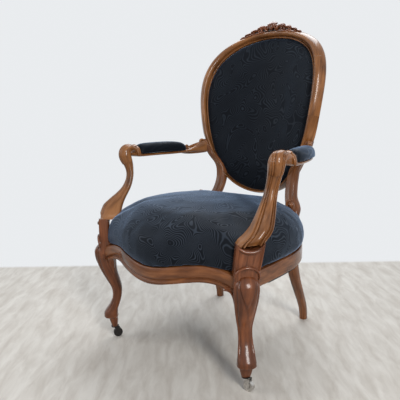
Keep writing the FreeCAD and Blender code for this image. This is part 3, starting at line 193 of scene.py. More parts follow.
def shell(grid, loop):
    """Points, faces of four and of three corners, and a length-wise UV map of rings: closed round,
    and joined end to end as a loop or closed by a point at both ends."""
    rows, around = grid.shape[:2]
    index = np.arange(rows * around).reshape(rows, around)
    beside = np.roll(index, -1, 1)
    below, above = (index, np.roll(index, -1, 0)) if loop else (index[:-1], index[1:])
    near, far = (beside, np.roll(beside, -1, 0)) if loop else (beside[:-1], beside[1:])
    quads = np.stack([below, near, far, above], -1).reshape(-1, 4)
    steps = np.linalg.norm(np.diff(grid.mean(1), axis=0), axis=-1)
    length = np.concatenate([[0], np.cumsum(steps)]) / 1000
    girth = np.linalg.norm(np.diff(grid[rows // 2], axis=0), axis=-1)
    width = np.concatenate([[0], np.cumsum(girth), [girth.sum() + girth.mean()]]) / 1000
    u = np.concatenate([length, [length[-1] + length[1]]]) if loop else length
    spans = len(below)
    low_u, high_u = np.repeat(u[:spans], around), np.repeat(u[1:spans + 1], around)
    low_v, high_v = np.tile(width[:-1], spans), np.tile(width[1:], spans)
    corners = np.stack([
        np.stack([low_u, low_v], -1), np.stack([low_u, high_v], -1),
        np.stack([high_u, high_v], -1), np.stack([high_u, low_v], -1),
    ], 1).reshape(-1, 2)
    if loop:
        return grid.reshape(-1, 3), quads, np.empty((0, 3), int), corners
    points = np.concatenate([grid.reshape(-1, 3), grid[:1].mean(1), grid[-1:].mean(1)])
    end = np.full(around, rows * around)
    first_fan = np.stack([end, beside[0], index[0]], -1)
    last_fan = np.stack([end + 1, index[-1], beside[-1]], -1)
    rim = np.stack([width[1:], width[:-1]], -1)
    for start, order in ((u[0], rim), (u[-1], rim[:, ::-1])):
        across = np.concatenate([rim.mean(1, keepdims=True), order], 1)
        fan = np.stack([np.full(across.shape, start), across], -1)
        corners = np.concatenate([corners, fan.reshape(-1, 2)])
    return points, quads, np.concatenate([first_fan, last_fan]), corners


def outward(points, quads, threes, corners):
    """The faces turned so that the volume they enclose, a sixth of the sum of a . (b x c), is
    positive."""
    triangles = np.concatenate([quads[:, :3], quads[:, [0, 2, 3]], threes])
    a, b, c = points[triangles].transpose(1, 0, 2)
    if (a * np.cross(b, c)).sum() >= 0:
        return quads, threes, corners
    fours, fans = np.split(corners, [quads.size])
    fours, fans = fours.reshape(-1, 4, 2)[:, ::-1], fans.reshape(-1, 3, 2)[:, ::-1]
    corners = np.concatenate([fours.reshape(-1, 2), fans.reshape(-1, 2)])
    return quads[:, ::-1], threes[:, ::-1], corners


def mesh_of(name, grids, loop):
    """One mesh of closed shells with its UV map, each shell's grain shifted from the last's."""
    places, faces, uv, start = [], [], [], 0
    for number, grid in enumerate(grids):
        points, quads, threes, corners = shell(grid, loop)
        quads, threes, corners = outward(points, quads, threes, corners)
        places.append(placed(points))
        faces += (quads + start).tolist() + (threes + start).tolist()
        uv.append(corners + (GRAIN_SHIFT * number, 0.0))
        start += len(points)
    mesh = bpy.data.meshes.new(name)
    mesh.from_pydata(np.concatenate(places).tolist(), [], faces)
    mesh.uv_layers.new(name="length").data.foreach_set("uv", np.concatenate(uv).ravel())
    mesh.polygons.foreach_set("use_smooth", np.ones(len(faces), bool))
    mesh.update()
    return mesh


def linked(name, data):
    """A new object, in the scene."""
    made = bpy.data.objects.new(name, data)
    bpy.context.scene.collection.objects.link(made)
    return made


def piece(name, grids, finish, replaces=(), loop=False, slot="polished_wood"):
    """A piece of the chair made of rings, riding on the frame."""
    mesh = mesh_of(name, grids, loop)
    mesh.materials.append(finish)
    made = linked(name, mesh)
    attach(made, "frame")
    if replaces:
        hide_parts(*replaces)
    return made


def pair(name, grids, finish, nodes=(), **settings):
    """A left piece and its mirror image, each standing for the node of its own hand."""
    made = []
    for hand, sign in (("left", 1), ("right", -1)):
        turned = [grid * (sign, 1, 1) for grid in grids]
        stood_for = [f"{node}_{hand}" for node in nodes]
        made.append(piece(f"{name}_{hand}", turned, finish, stood_for, **settings))
    return made


def on_leg(out, side, height):
    """Points by their distances from the left leg's axis, outwards and sideways, and height."""
    out, side, height = arrays(out, side, height)
    return (LEG_X, 0, 0) + out[..., None] * OUT + side[..., None] * SIDE + height[..., None] * UP


def from_leg(points, way):
    """Distances of points from the left leg's axis along a direction."""
    return (points - (LEG_X, 0, 0)) @ way


def off_middle(grid, middles, way, half):
    """Each ring's points by their distance along a direction, in shares of its half size."""
    way = np.broadcast_to(way, middles.shape)
    return ((grid - middles[:, None]) * way[:, None]).sum(-1) / half[:, None]


def scroll(middle, right, up, radius, turns, start, thick, flat):
    """A spiral rib in the plane of right and up: its radius shrinks evenly from the start to a
    fifth, and its thickness with it."""
    t = np.linspace(0, 1, 70)
    angle = start + 2 * pi * turns * t
    reach = radius * (1 - 0.8 * t)
    right, up = unit(right), unit(up)
    ray = right * np.cos(angle)[:, None] + up * np.sin(angle)[:, None]
    half = thick[0] + (thick[1] - thick[0]) * t
    half = half * (0.35 + 0.65 * rise(t, 0, 0.12))
    front = np.cross(right, up)
    grid = tube(middle + ray * reach[:, None], ray, front, half, half * flat, 16)
    return rounded_ends(grid, half[-1] * 0.8, 3)


def ball(middle, right, up, halves, steepest, rings):
    """A round knob by its half sizes along right, up and forwards, in rings of even latitude."""
    right, up = unit(right), unit(up)
    wide, high, deep = halves
    latitude = np.linspace(-steepest, steepest, rings)
    middles = middle + np.cross(right, up) * (deep * np.sin(latitude))[:, None]
    return tube(middles, right, up, wide * np.cos(latitude), high * np.cos(latitude), 24)


def blade(path, front, wide, thick, ridge=0.35, around=20, belly=0.8):
    """A carved leaf: a lens of a section along a curve, widest before its middle and pointed at
    its tip, with a ridge down its front."""
    spots = curve(path, 40)
    t = np.linspace(0, 1, 40)
    ahead = along_line(spots)
    across = unit(np.cross(ahead, unit(front)))
    face = np.cross(across, ahead)
    shape = np.sin(pi * np.clip(t, 0.02, 0.985) ** belly) ** 0.75 + 0.06
    grid = tube(spots, across, face, wide * shape, thick * (0.35 + 0.65 * shape), around, 1.15)
    return raised(grid, ridge * thick * bump(turns_of(around), pi / 2, 0.35) * shape[:, None])


def rod(path, half, other, face, taper, count=60):
    """A bead or strand along a curve, thinner towards its ends by the taper."""
    spots = curve(path, count)
    ahead = along_line(spots)
    across = unit(np.cross(ahead, face))
    thin = 1 - taper * (2 * np.abs(np.linspace(0, 1, count) - 0.5)) ** 3
    grid = tube(spots, across, np.cross(across, ahead), half * thin, other * thin, 18)
    return rounded_ends(grid, half * 0.8, 3)


# Oval back frame

RIM_SECTION = (
    (0.00, -0.45), (0.00, 0.10), (0.02, 0.20), (0.07, 0.25), (0.12, 0.20), (0.15, 0.05),
    (0.19, -0.02), (0.24, 0.10), (0.33, 0.34), (0.46, 0.46), (0.61, 0.49), (0.75, 0.41),
    (0.87, 0.22), (0.95, -0.03), (0.995, -0.28), (0.98, -0.52), (0.88, -0.72), (0.70, -0.72),
    (0.50, -0.70), (0.20, -0.60),
)
SIDE_ANGLES = (-34.0, 40.0)


def oval_flat(turn):
    """The opening's edge on the flattened back: half * cos, high * sin, the half width growing
    with the height and with its square."""
    c, s = np.cos(turn), np.sin(turn)
    return OVAL_HALF * (1 + 0.187 * s + 0.263 * s * s) * c, OVAL_HIGH * s


def spoon(up):
    """How far the sides come forward: less with the square of the height over the middle."""
    return SPOON * (1 - 0.5 * np.maximum(0, up / OVAL_HIGH) ** 2)


def back_point(across, up):
    """The back's surface: it leans by the rake, and its sides come forward as the square of
    across."""
    y = OVAL_Y + up * np.sin(RAKE) - spoon(up) * (across / OVAL_HALF) ** 2
    return xyz(across, y, OVAL_Z + up * np.cos(RAKE))


def back_axes(across, up):
    """Across, up the rake, and forwards, square to both."""
    slope = -2 * spoon(up) * across / OVAL_HALF**2
    side = unit(xyz(1.0, slope, 0.0))
    high = np.array([0, np.sin(RAKE), np.cos(RAKE)])
    return side, high, unit(np.cross(side, high))


def rim_wide(turn):
    """The rim's width: fuller at the shoulders, and thinner towards the foot."""
    high = np.sin(turn)
    over = RIM_WIDE + (RIM_TOP - RIM_WIDE) * high**2 + RIM_SWELL * np.sin(2 * turn) ** 2
    under = RIM_WIDE + (RIM_LOW - RIM_WIDE) * rise(-high, 0.2, 0.55)
    return np.where(high > 0, over, under)


def rim_axes(turn):
    """The opening's edge at turns of the oval, with the rim's outward and forward directions."""
    turn = np.asarray(turn, float)
    (x0, v0), (x1, v1) = oval_flat(turn - pi / 180), oval_flat(turn + pi / 180)
    run = np.hypot(x1 - x0, v1 - v0)[..., None]
    across, up = oval_flat(turn)
    side, high, front = back_axes(across, up)
    outwards = unit(side * (v1 - v0)[..., None] / run - high * (x1 - x0)[..., None] / run)
    front = unit(front - outwards * (front * outwards).sum(-1, keepdims=True))
    return back_point(across, up), outwards, front


def on_rim(turn, out, forward):
    """Points on the rim, by shares of its width outwards and of its depth forwards."""
    turn, out, forward = arrays(turn, out, forward)
    start, outwards, front = rim_axes(turn)
    out, forward = (out * rim_wide(turn))[..., None], (forward * RIM_DEEP)[..., None]
    return start + outwards * out + front * forward


def oval_frame():
    """The moulding's section carried round the oval, with a fine line where two members meet."""
    low, high = SIDE_ANGLES
    joints = np.radians([low, high, 180 - high, 180 - low])
    close = (joints[:, None] + np.linspace(-0.012, 0.012, 9)).ravel() % (2 * pi)
    turn = np.sort(np.concatenate([turns_of(380), close]))
    section = curve(RIM_SECTION, 76, closed=True)
    grid = on_rim(turn[:, None], section[None, :, 0], section[None, :, 1])
    away = np.abs((turn[:, None] - joints + pi) % (2 * pi) - pi).min(1)
    seam = -0.45 * bump(away, 0, 0.003)[:, None] * np.ones(len(section))
    return raised(grid, seam, loop=True)


# Rear legs

SCROLL_HEIGHT = 449.0              # floor to the volute at a stile's foot
REAR_FOOT = (
    (0.00, 1.00, 0.65, 0.60), (0.09, 0.975, 0.67, 0.63), (0.20, 0.88, 0.70, 0.70),
    (0.38, 0.61, 0.77, 0.78), (0.56, 0.34, 0.85, 0.86), (0.73, 0.14, 0.91, 0.92),
    (0.88, 0.035, 0.96, 0.97), (1.00, 0.00, 0.99, 0.99),
)
STILE = (
    (0.000, 0.00, 0.05, 0.99, 0.99), (0.108, -0.03, 0.05, 0.96, 0.94),
    (0.223, -0.14, 0.14, 1.04, 0.88), (0.324, -0.25, 0.27, 1.30, 0.84),
    (0.395, -0.44, 0.41, 1.26, 0.80), (0.484, -0.68, 0.51, 1.10, 0.76),
    (0.611, -0.79, 0.60, 1.07, 0.72), (0.745, -0.76, 0.56, 1.05, 0.70),
    (0.898, -0.49, 0.32, 0.92, 0.70), (1.050, 0.25, -0.11, 0.88, 0.68),
    (1.191, 0.75, -0.49, 0.80, 0.64), (1.292, 1.06, -0.76, 0.70, 0.58),
)


def stile_line():
    """The stile's middles, half widths and half depths, from the block past the oval's side."""
    block = np.array([REAR_X, REAR_Y, KNEE + RAIL])
    end = on_rim(radians(SIDE_ANGLES[0]), 0.75, -0.10)
    share, out, back, wide, deep = curve(STILE, 150).T
    middles = block + (end - block) * share[:, None]
    middles += xyz(out, back, 0) * REAR_WIDE
    return middles, wide * REAR_WIDE / 2, deep * REAR_DEEP / 2


def rear_leg():
    """Foot, square stretch and stile as one tube of rounded squares. Three reeds run up the
    stile's front: bells of the angle round it, faded in over the seat."""
    up, back, wide, deep = curve(REAR_FOOT, 70).T
    foot = xyz(REAR_X, REAR_Y + back * REAR_SPLAY, up * KNEE)
    square = np.linspace((REAR_X, REAR_Y, KNEE + 3), (REAR_X, REAR_Y, KNEE + RAIL - 2), 8)
    stile, stile_wide, stile_deep = stile_line()
    middles = np.concatenate([foot, square, stile])
    half_x = np.concatenate([wide * REAR_WIDE / 2, np.full(8, REAR_WIDE / 2), stile_wide])
    half_y = np.concatenate([deep * REAR_DEEP / 2, np.full(8, REAR_DEEP / 2), stile_deep])
    square_off = between(middles[:, 2], 250, 300, 350, 375)
    grid = tube(middles, (1, 0, 0), (0, 1, 0), half_x, half_y, 72, 0.72 - 0.42 * square_off)
    turn = turns_of(72)[None]
    shown = rise(middles[:, 2], 425, 470)[:, None]
    reeds = sum(bump(turn, radians(angle), 0.16) for angle in (238, 270, 302)) * 1.5 - 0.4
    return raised(grid, reeds * shown * (np.sin(turn) < 0.1))


def stile_scroll():
    """The volute at the stile's foot, on its front, round an eye."""
    middle = np.array([REAR_X + 0.05 * REAR_WIDE, REAR_Y - 14, SCROLL_HEIGHT])
    right, up = (1, 0.25, 0), (0, 0.1, 1.0)
    eye = ball(middle, right, up, (8, 10, 13), 1.4, 15)
    return [scroll(middle, right, up, 17, 1.3, radians(75), (5.5, 2.6), 1.5), eye]


# Front legs

BROW_HALF, BROW_RISE, BROW_HEIGHT = 32.5, 25.5, 338.0
CABRIOLE = (
    (0.000, -0.01, -0.25, 0.170, 0.00), (0.060, 0.06, -0.28, 0.225, 0.00),
    (0.118, 0.12, -0.28, 0.262, 0.00), (0.128, 0.20, -0.285, 0.290, 0.00),
    (0.146, 0.29, -0.29, 0.344, 0.00), (0.193, 0.295, -0.30, 0.348, 0.00),
    (0.245, 0.19, -0.32, 0.315, 0.00), (0.319, 0.02, -0.41, 0.275, 0.00),
    (0.416, -0.10, -0.50, 0.245, 0.00), (0.532, -0.07, -0.53, 0.257, -0.02),
    (0.647, 0.12, -0.46, 0.315, -0.045), (0.763, 0.32, -0.37, 0.370, -0.06),
    (0.879, 0.48, -0.34, 0.420, -0.06), (0.988, 0.55, -0.35, 0.450, -0.06),
    (1.050, 0.54, -0.33, 0.430, -0.06), (1.105, 0.41, -0.28, 0.365, -0.05),
    (1.150, 0.24, -0.22, 0.280, -0.05),
)
EAR_EDGE = (
    (-0.84, 0.988), (-0.70, 0.978), (-0.59, 0.957), (-0.515, 0.925), (-0.465, 0.885),
    (-0.425, 0.835), (-0.385, 0.775), (-0.34, 0.71),
)


def notch_height(side):
    """The round notch's bottom: low + radius - sqrt(radius^2 - side^2), about its own middle."""
    off = np.clip(side - BLOCK_LEAN * 0.4, -0.72 * NOTCH_RADIUS, 0.72 * NOTCH_RADIUS)
    return NOTCH_LOW + NOTCH_RADIUS - np.sqrt(NOTCH_RADIUS**2 - off**2)


def cabriole():
    """The leg from its collar to its knee. A V of two grooves closes downwards on its front, and a
    strand runs down each side."""
    up, outer, inner, half, side = curve(CABRIOLE, 250).T
    height = FOOT + up * (KNEE - FOOT)
    middles = on_leg((outer + inner) / 2 * BLOCK, side * BLOCK, height)
    grid = tube(middles, SIDE, OUT, half * BLOCK, (outer - inner) / 2 * BLOCK, 100, 0.82)
    lean = (turns_of(100) - pi / 2 + pi)[None] % (2 * pi) - pi
    high = height[:, None]
    spread = np.clip((high - 243) / 97, 0, 1.2) * radians(52)
    shown = between(high, 236, 262, 346, 356)
    height = -(5.0 * bump(lean, spread, 0.075) + 2.8 * bump(lean, -spread, 0.07)) * shown
    height += 1.4 * (np.abs(lean) < spread) * between(high, 262, 300, 325, 345)
    strand = between(high, 95, 120, 300, 330)
    for sign in (-1, 1):
        rib = 2.2 * bump(lean, sign * 1.28, 0.15) - 2.6 * bump(lean, sign * 0.98, 0.1)
        height += rib * strand
    height += 0.8 * bump(lean, 0, 0.5) * bump(high, 92, 16) + 1.3 * bump(high, 79, 2.6)
    return raised(grid, height)


def block_sides(height):
    """The block's two sides, by their distances from the leg's axis: over the rails they lean to
    the side rail, evenly up to the middle of the notch's curve."""
    over = np.clip((height - KNEE - RAIL) / (NOTCH_LOW + NOTCH_RADIUS - KNEE - RAIL), 0, 1)
    left = -BLOCK_INNER + over * (BLOCK_LEAN - BLOCK / 2 + BLOCK_INNER)
    return left, BLOCK_OUTER + over * (BLOCK_LEAN + BLOCK / 2 - BLOCK_OUTER)


def leg_block():
    """The block over the knee: rounded rectangles that lean to the side rail, their tops bent to
    the notch, closed by rings that shrink over it."""
    share = np.linspace(0, 1, 60)
    height = KNEE + 4 + (NOTCH_LOW - KNEE - 4) * share
    left, right = block_sides(height)
    middle, half = (left + right) / 2, (right - left) / 2
    centres = on_leg((BLOCK_FACE - BLOCK_SHELF) / 2, middle, height)
    grid = tube(centres, SIDE, OUT, half, (BLOCK_FACE + BLOCK_SHELF) / 2, 96, 0.26)
    side = from_leg(grid, SIDE)
    bent = (notch_height(side) - NOTCH_LOW) * rise(share, 0.25, 1.0)[:, None]
    grid = grid + bent[..., None] * UP
    off = np.abs(side - middle[:, None]) / half[:, None]
    front = from_leg(grid, OUT) > BLOCK_FACE - 4
    cushion = 1.6 * (1 - off**2) - 1.8 * bump(off, 0.80, 0.05) + 0.9 * bump(off, 0.92, 0.05)
    grid = grid + (cushion * front * rise(share, 0.2, 0.45)[:, None])[..., None] * OUT
    caps = []
    for shrink in (0.9, 0.7, 0.45, 0.2):
        ring = grid[-1].mean(0) + (grid[-1] - grid[-1].mean(0)) * (shrink, shrink, 0)
        ring[:, 2] = notch_height(from_leg(ring, SIDE)) - 1.0
        caps.append(ring)
    return np.concatenate([grid, np.array(caps)])


def lower_block():
    """The block between the rails, nearly square, a hair inside the rails' own edges."""
    height = np.linspace(KNEE + 0.5, KNEE + RAIL - 0.5, 12)
    middle, half = (BLOCK_OUTER - BLOCK_INNER) / 2, (BLOCK_OUTER + BLOCK_INNER) / 2
    centres = on_leg((BLOCK_FACE - BLOCK_BACK) / 2, middle, height)
    return tube(centres, SIDE, OUT, half - 0.2, (BLOCK_FACE + BLOCK_BACK) / 2 - 0.2, 56, 0.16)


def ear():
    """The bracket under the front rail, from its curved, beaded edge into the leg."""
    side, up = curve(EAR_EDGE, 60).T
    edge = on_leg(-11, side * BLOCK, up * KNEE)
    root = on_leg(-12, -0.14 * BLOCK, np.maximum(up, 0.8) * KNEE + 6)
    half = np.linalg.norm(edge - root, axis=-1) / 2
    web = tube((edge + root) / 2, unit(edge - root), OUT, half, 9.5, 40, 0.3)
    bead = on_leg(np.linspace(9, -6, len(side)), side * BLOCK + 1.0, up * KNEE + 1.5)
    return [rounded_ends(web, 2, 2), rod(bead, 3.4, 3.0, OUT, 0.5)]


def brow():
    """The arched lip over the knee, a rib on a half oval that thins to its ends."""
    t = np.linspace(radians(-16), radians(196), 70)
    side = (BLOCK_OUTER - BLOCK_INNER) / 2 + BROW_HALF * np.cos(t)
    out = BLOCK_FACE + 3.5 - 3 * np.abs(np.cos(t)) ** 4
    return rod(on_leg(out, side, BROW_HEIGHT + BROW_RISE * np.sin(t)), 3.6, 6.0, OUT, 0.5, 90)


def notch_lip():
    """The bright crescent roll along the front of the notch, thickest in its middle."""
    side = np.linspace(-25, 31, 50)
    thick = 6.0 * np.sqrt(np.clip(1 - ((side - 3.0) / 31) ** 2, 0.04, 1))
    path = on_leg(BLOCK_FACE + 2.0, side, notch_height(side) - 5.0)
    along = along_line(path)
    grid = tube(path, OUT, np.cross(OUT, along), thick * 1.05, thick, 24)
    return rounded_ends(grid, 2.0, 3)


def block_beads():
    """Thin beads up the block's two front edges into its horns."""
    height = np.linspace(352, 424, 30)
    left, right = block_sides(height)
    paths = (on_leg(BLOCK_FACE - 0.6, side, height) for side in (left + 3.0, right - 3.0))
    return [rod(path, 2.1, 2.1, OUT, 0.6) for path in paths]


# Arm supports and arms

SUPPORT = (
    (0.000, 0.00, 0.20, 0.500, 0.365), (0.070, 0.04, 0.30, 0.500, 0.385),
    (0.130, 0.10, 0.44, 0.485, 0.390), (0.220, 0.16, 0.64, 0.440, 0.370),
    (0.320, 0.140, 0.88, 0.390, 0.300), (0.420, 0.085, 1.14, 0.345, 0.215),
    (0.510, 0.040, 1.34, 0.305, 0.165), (0.610, 0.031, 1.485, 0.270, 0.142),
    (0.710, 0.045, 1.575, 0.255, 0.137), (0.800, 0.085, 1.605, 0.260, 0.152),
    (0.900, 0.150, 1.59, 0.275, 0.200), (1.000, 0.230, 1.53, 0.300, 0.250),
    (1.045, 0.262, 1.50, 0.300, 0.235),
)
ARM = (
    (0.230, 0.575, -0.9, 0.70, 0.30), (0.260, 0.620, -0.9, 1.00, 0.42),
    (0.300, 0.690, -0.6, 1.10, 0.48), (0.340, 0.744, -0.2, 0.95, 0.50),
    (0.397, 0.809, 0.4, 0.62, 0.50), (0.541, 0.846, 0.5, 0.50, 0.50),
    (0.700, 0.777, 0.45, 0.55, 0.48), (0.819, 0.631, 0.1, 0.65, 0.42),
    (0.894, 0.512, -0.5, 1.15, 0.38), (0.951, 0.387, -1.2, 1.95, 0.36),
    (0.986, 0.280, -1.5, 2.45, 0.34),
)
PAD = (
    (0.372, 0.55, 0.50), (0.392, 0.84, 0.84), (0.445, 0.97, 0.97), (0.572, 1.00, 1.00),
    (0.676, 0.97, 0.98), (0.754, 0.85, 0.87), (0.792, 0.62, 0.64), (0.809, 0.26, 0.28),
)


def mouldings(off):
    """Heights over a member's width, from -1 to 1: a broad round in the middle, then a groove, a
    strand, a groove and an edge bead at each side."""
    off = np.abs(off)
    profile = 5.2 * np.sqrt(np.clip(1 - (off / 0.42) ** 2, 0, 1))
    profile += 2.4 * bump(off, 0.57, 0.08) + 2.2 * bump(off, 0.83, 0.09)
    return profile - 3.0 * bump(off, 0.45, 0.05) - 2.6 * bump(off, 0.70, 0.05)


def arm_support():
    """A tube that leans back and narrows, its foot bent to the notch, with mouldings on its front
    and a tongue set back over the notch."""
    share, right, back, wide, deep = curve(SUPPORT, 200).T
    height = NOTCH_LOW + share * (ARM_HEIGHT - ARM_THICK - NOTCH_LOW)
    middles = xyz(LEG_X + right * BLOCK, back * BLOCK, height)
    wide, deep = wide * BLOCK, deep * BLOCK
    grid = tube(middles, SIDE, OUT, wide, deep, 200, 0.42 + 0.43 * rise(share, 0.02, 0.35))
    across, front = off_middle(grid, middles, SIDE, wide), off_middle(grid, middles, OUT, deep)
    share = share[:, None]
    relief = mouldings(across) * rise(front, 0.05, 0.35)
    relief *= (1.5 - 0.5 * rise(share, 0.35, 0.7)) * (1 - 0.35 * rise(share, 0.5, 0.9))
    tongue = rise(front, 0.1, 0.5) * rise(0.5 - np.abs(across), 0, 0.1)
    relief -= 9 * (1 - rise(share, 0, 0.11)) * tongue
    foot = (1 - np.clip(share, 0, 1)) ** 5
    slot = 10.0 * bump(across, 0, 0.55) * rise(front, 0.0, 0.5)
    lift = (notch_height(from_leg(grid, SIDE)) - NOTCH_LOW + slot) * foot
    return grid + relief[..., None] * OUT + lift[..., None] * UP


def arm_end():
    """The point on the oval's side that the arm grows out of, at arm height."""
    up = (ARM_HEIGHT - OVAL_Z) / np.cos(RAKE)
    return on_rim(np.arcsin(up / OVAL_HIGH), 0.5, -0.10)


def arm_line(table, count):
    """Middles along the arm from a table, over the straight line to the oval's side."""
    share, right, drop, high, wide = curve(table, count).T
    end = arm_end()
    x = LEG_X + (end[0] - LEG_X) * share + right * BLOCK
    return share, xyz(x, end[1] * share, ARM_HEIGHT - drop * ARM_THICK), high, wide


def level_sides(middles):
    """Level directions square to a line, on its left."""
    ahead = np.gradient(middles, axis=0)
    return unit(xyz(-ahead[:, 1], ahead[:, 0], 0))


def arm():
    """Front end, waist under the pad and the rise into the oval's side, where the mouldings show
    again on its top."""
    share, middles, high, wide = arm_line(ARM, 260)
    sides = level_sides(middles)
    wide, high = wide * ARM_WIDE, high * ARM_THICK
    grid = tube(middles, sides, UP, wide, high, 120, 0.72)
    off, top = off_middle(grid, middles, sides, wide), off_middle(grid, middles, UP, high)
    relief = mouldings(off) * 0.5 * rise(top, 0, 0.5) * rise(share[:, None], 0.86, 0.92)
    return rounded_ends(raised(grid, relief), 5, 4)


def arm_point(share, out=0.0, high=0.0):
    """Points by their share of the arm's way and their distances outwards and over the arm."""
    known, middles, _, _ = arm_line(ARM, 400)
    spots, later = (
        np.stack([np.interp(at, known, middles[:, k]) for k in range(2)], -1)
        for at in (share, np.asarray(share) + 0.01)
    )
    ahead = unit(later - spots)
    side = np.stack([ahead[..., 1], -ahead[..., 0]], -1)
    flat = spots + side * np.asarray(out, float)[..., None]
    high = np.broadcast_to(ARM_HEIGHT + np.asarray(high, float), flat.shape[:-1])
    return np.concatenate([flat, high[..., None]], -1)


KNUCKLE = (
    (287.0, 120.0, 593.0, 21.6, 16.6, 0.00), (291.5, 116.3, 607.0, 23.0, 19.2, 0.00),
    (294.0, 114.8, 619.0, 24.0, 19.8, 0.12), (296.0, 119.0, 629.5, 24.0, 19.0, 0.42),
    (298.0, 131.0, 635.5, 22.5, 17.0, 0.78), (300.0, 148.0, 634.0, 20.0, 14.0, 1.00),
    (302.0, 166.0, 626.5, 18.5, 11.0, 1.00), (304.0, 183.0, 619.0, 17.0, 7.0, 1.00),
)


def knuckle():
    """The support's mouldings carried up and over the arm's front: the tube's face turns from the
    leg's outward direction to straight up on the way."""
    x, y, z, wide, deep, over = curve(KNUCKLE, 140).T
    middles = xyz(x, y, z)
    over = np.clip(over, 0, 1)[:, None]
    ahead = along_line(middles)
    face = unit(OUT * (1 - over) + UP * over)
    face = unit(face - ahead * (face * ahead).sum(-1, keepdims=True))
    across = np.cross(face, ahead)
    grid = tube(middles, across, face, wide, deep, 200, 0.85)
    off, front = off_middle(grid, middles, across, wide), off_middle(grid, middles, face, deep)
    fade = 1 - rise(np.linspace(0, 1, 140), 0.72, 0.95)[:, None]
    relief = mouldings(off) * rise(front, 0.05, 0.35) * 0.62 * fade
    return grid + relief[..., None] * face[:, None]


def arm_collar():
    """The carved step that holds the pad's front end: a band over the arm from side to side, a
    step before it and a leaf over both."""
    turn = pi * (1.12 * np.linspace(0, 1, 60) - 0.06)
    path = arm_point(np.full(60, 0.345), 22 * np.cos(turn), 1 + 27 * np.sin(turn))
    ahead = unit(arm_point(0.40) - arm_point(0.35))
    normal = unit(np.cross(np.gradient(path, axis=0), ahead))
    half = 8.5 - 2 * np.abs(np.linspace(-1, 1, 60)) ** 3
    band = tube(path, ahead, normal, half, 4.2, 36, 0.9)
    line = arm_point(np.linspace(0.280, 0.360, 16), 0, np.linspace(9, 12, 16))
    wide, high = np.linspace((16, 10), (21, 14.5), 16).T
    step = tube(line, level_sides(line), UP, wide, high, 40, 0.7)
    leaf = blade(arm_point(np.linspace(0.362, 0.285, 6), 0, (30, 31, 30, 28, 26, 24)), UP, 14, 3.4)
    return [rounded_ends(band, 3, 3), rounded_ends(step, 3, 3), leaf]


def arm_leaves():
    """Two strands, two scrolls and a leaf where the arm climbs into the oval's side."""
    out = np.array([0.92, -0.38, 0])
    upper = arm_point((0.79, 0.83, 0.87, 0.91, 0.95, 0.99), 5, (12, 6, 5, 8, 13, 21))
    lower = arm_point((0.78, 0.83, 0.88, 0.93, 0.975, 1.0), 2, (-8, -9, -9, -8, -6, -3))
    along = unit(arm_point(0.9) - arm_point(0.8))
    curl = scroll(arm_point(0.822, 3, 15.0), along, UP, 7.5, 1.3, radians(200), (4.2, 2.2), 1.6)
    top = scroll(arm_point(0.945, 3, 31.0), along, UP, 10.5, 1.4, radians(-70), (5.0, 2.4), 1.6)
    leaf = arm_point((0.83, 0.86, 0.89, 0.92, 0.945), (7, 8, 8, 7, 5), (9, 12, 17, 24, 30))
    strands = [rod(upper, 6.0, 5.0, out, 0.6), rod(lower, 5.5, 5.0, out, 0.6)]
    return strands + [curl, top, blade(leaf, out, 7.0, 3.4)]


def arm_pad():
    """The pad: a crowned section between its two rounded ends, with gathers there."""
    share, wide, high = curve(PAD, 120).T
    foot = arm_point(share, 0, 0.3)
    turn = turns_of(72)[None]
    c, s = np.cos(turn), np.sin(turn)
    across = np.sign(c) * np.abs(c) ** 0.78 * (1.0 + 0.05 * s)
    up = 0.12 + 0.88 * np.where(s > 0, np.abs(s) ** 0.86, -0.10 * np.abs(s) ** 0.5)
    across = across * (wide * PAD_WIDE / 2)[:, None]
    up = up * (high * PAD_HIGH)[:, None]
    grid = foot[:, None] + level_sides(foot)[:, None] * across[..., None] + up[..., None] * UP
    near = np.minimum(share - share[0], share[-1] - share)[:, None]
    return raised(grid, 0.5 * np.sin(turn * 23) * bump(near, 0.012, 0.018) * (s > 0))


# Seat rails

RAIL_REACH, RAIL_FACE = 250.0, 32.0                # front rail's half length and its ends' place
RAIL_BOW, RAIL_LIFT = 66.0, 20.0   # how far its middle stands forward and its edge rises
RAIL_TOP, RAIL_TALL, RAIL_DEEP = 28.0, 49.0, 30.0
SIDE_RAIL_THICK = 25.0
FRONT_RAIL = (
    (0.00, 1.000, 0.00, 1.00), (0.16, 0.955, 0.14, 1.00), (0.32, 0.833, 0.52, 1.00),
    (0.48, 0.620, 0.86, 0.98), (0.64, 0.333, 1.00, 0.94), (0.80, 0.120, 0.86, 0.94),
    (0.92, 0.030, 0.48, 1.00), (1.06, 0.000, -0.06, 1.06),
)
RAIL_SECTION = (
    (1.00, 0.02), (1.00, 0.50), (1.00, 0.98), (0.60, 1.00), (0.16, 0.995), (0.05, 0.92),
    (0.00, 0.74), (0.015, 0.54), (0.07, 0.38), (0.16, 0.275), (0.185, 0.245), (0.13, 0.215),
    (0.055, 0.185), (0.03, 0.115), (0.06, 0.04), (0.16, 0.00), (0.60, 0.00),
)
SEAT_SIDE = (
    (1.000, 0.020), (1.004, 0.120), (1.012, 0.250), (1.018, 0.400), (1.008, 0.540), (0.970, 0.670),
    (0.909, 0.780), (0.828, 0.880), (0.748, 0.965), (0.665, 1.030),
)


def front_rail():
    """The moulded section carried along the serpentine, always parallel to the middle plane."""
    half = np.array(FRONT_RAIL)
    rows = np.concatenate([half[:0:-1] * (-1, 1, 1, 1), half])
    along, bow, lift, tall = curve(rows, 220).T[..., None]
    back, up = curve(RAIL_SECTION, 80, closed=True).T
    y = back * RAIL_DEEP - RAIL_FACE - bow * RAIL_BOW
    z = KNEE + RAIL_TOP + lift * RAIL_LIFT + (up - 1) * tall * RAIL_TALL
    return xyz(along * RAIL_REACH, y, z)


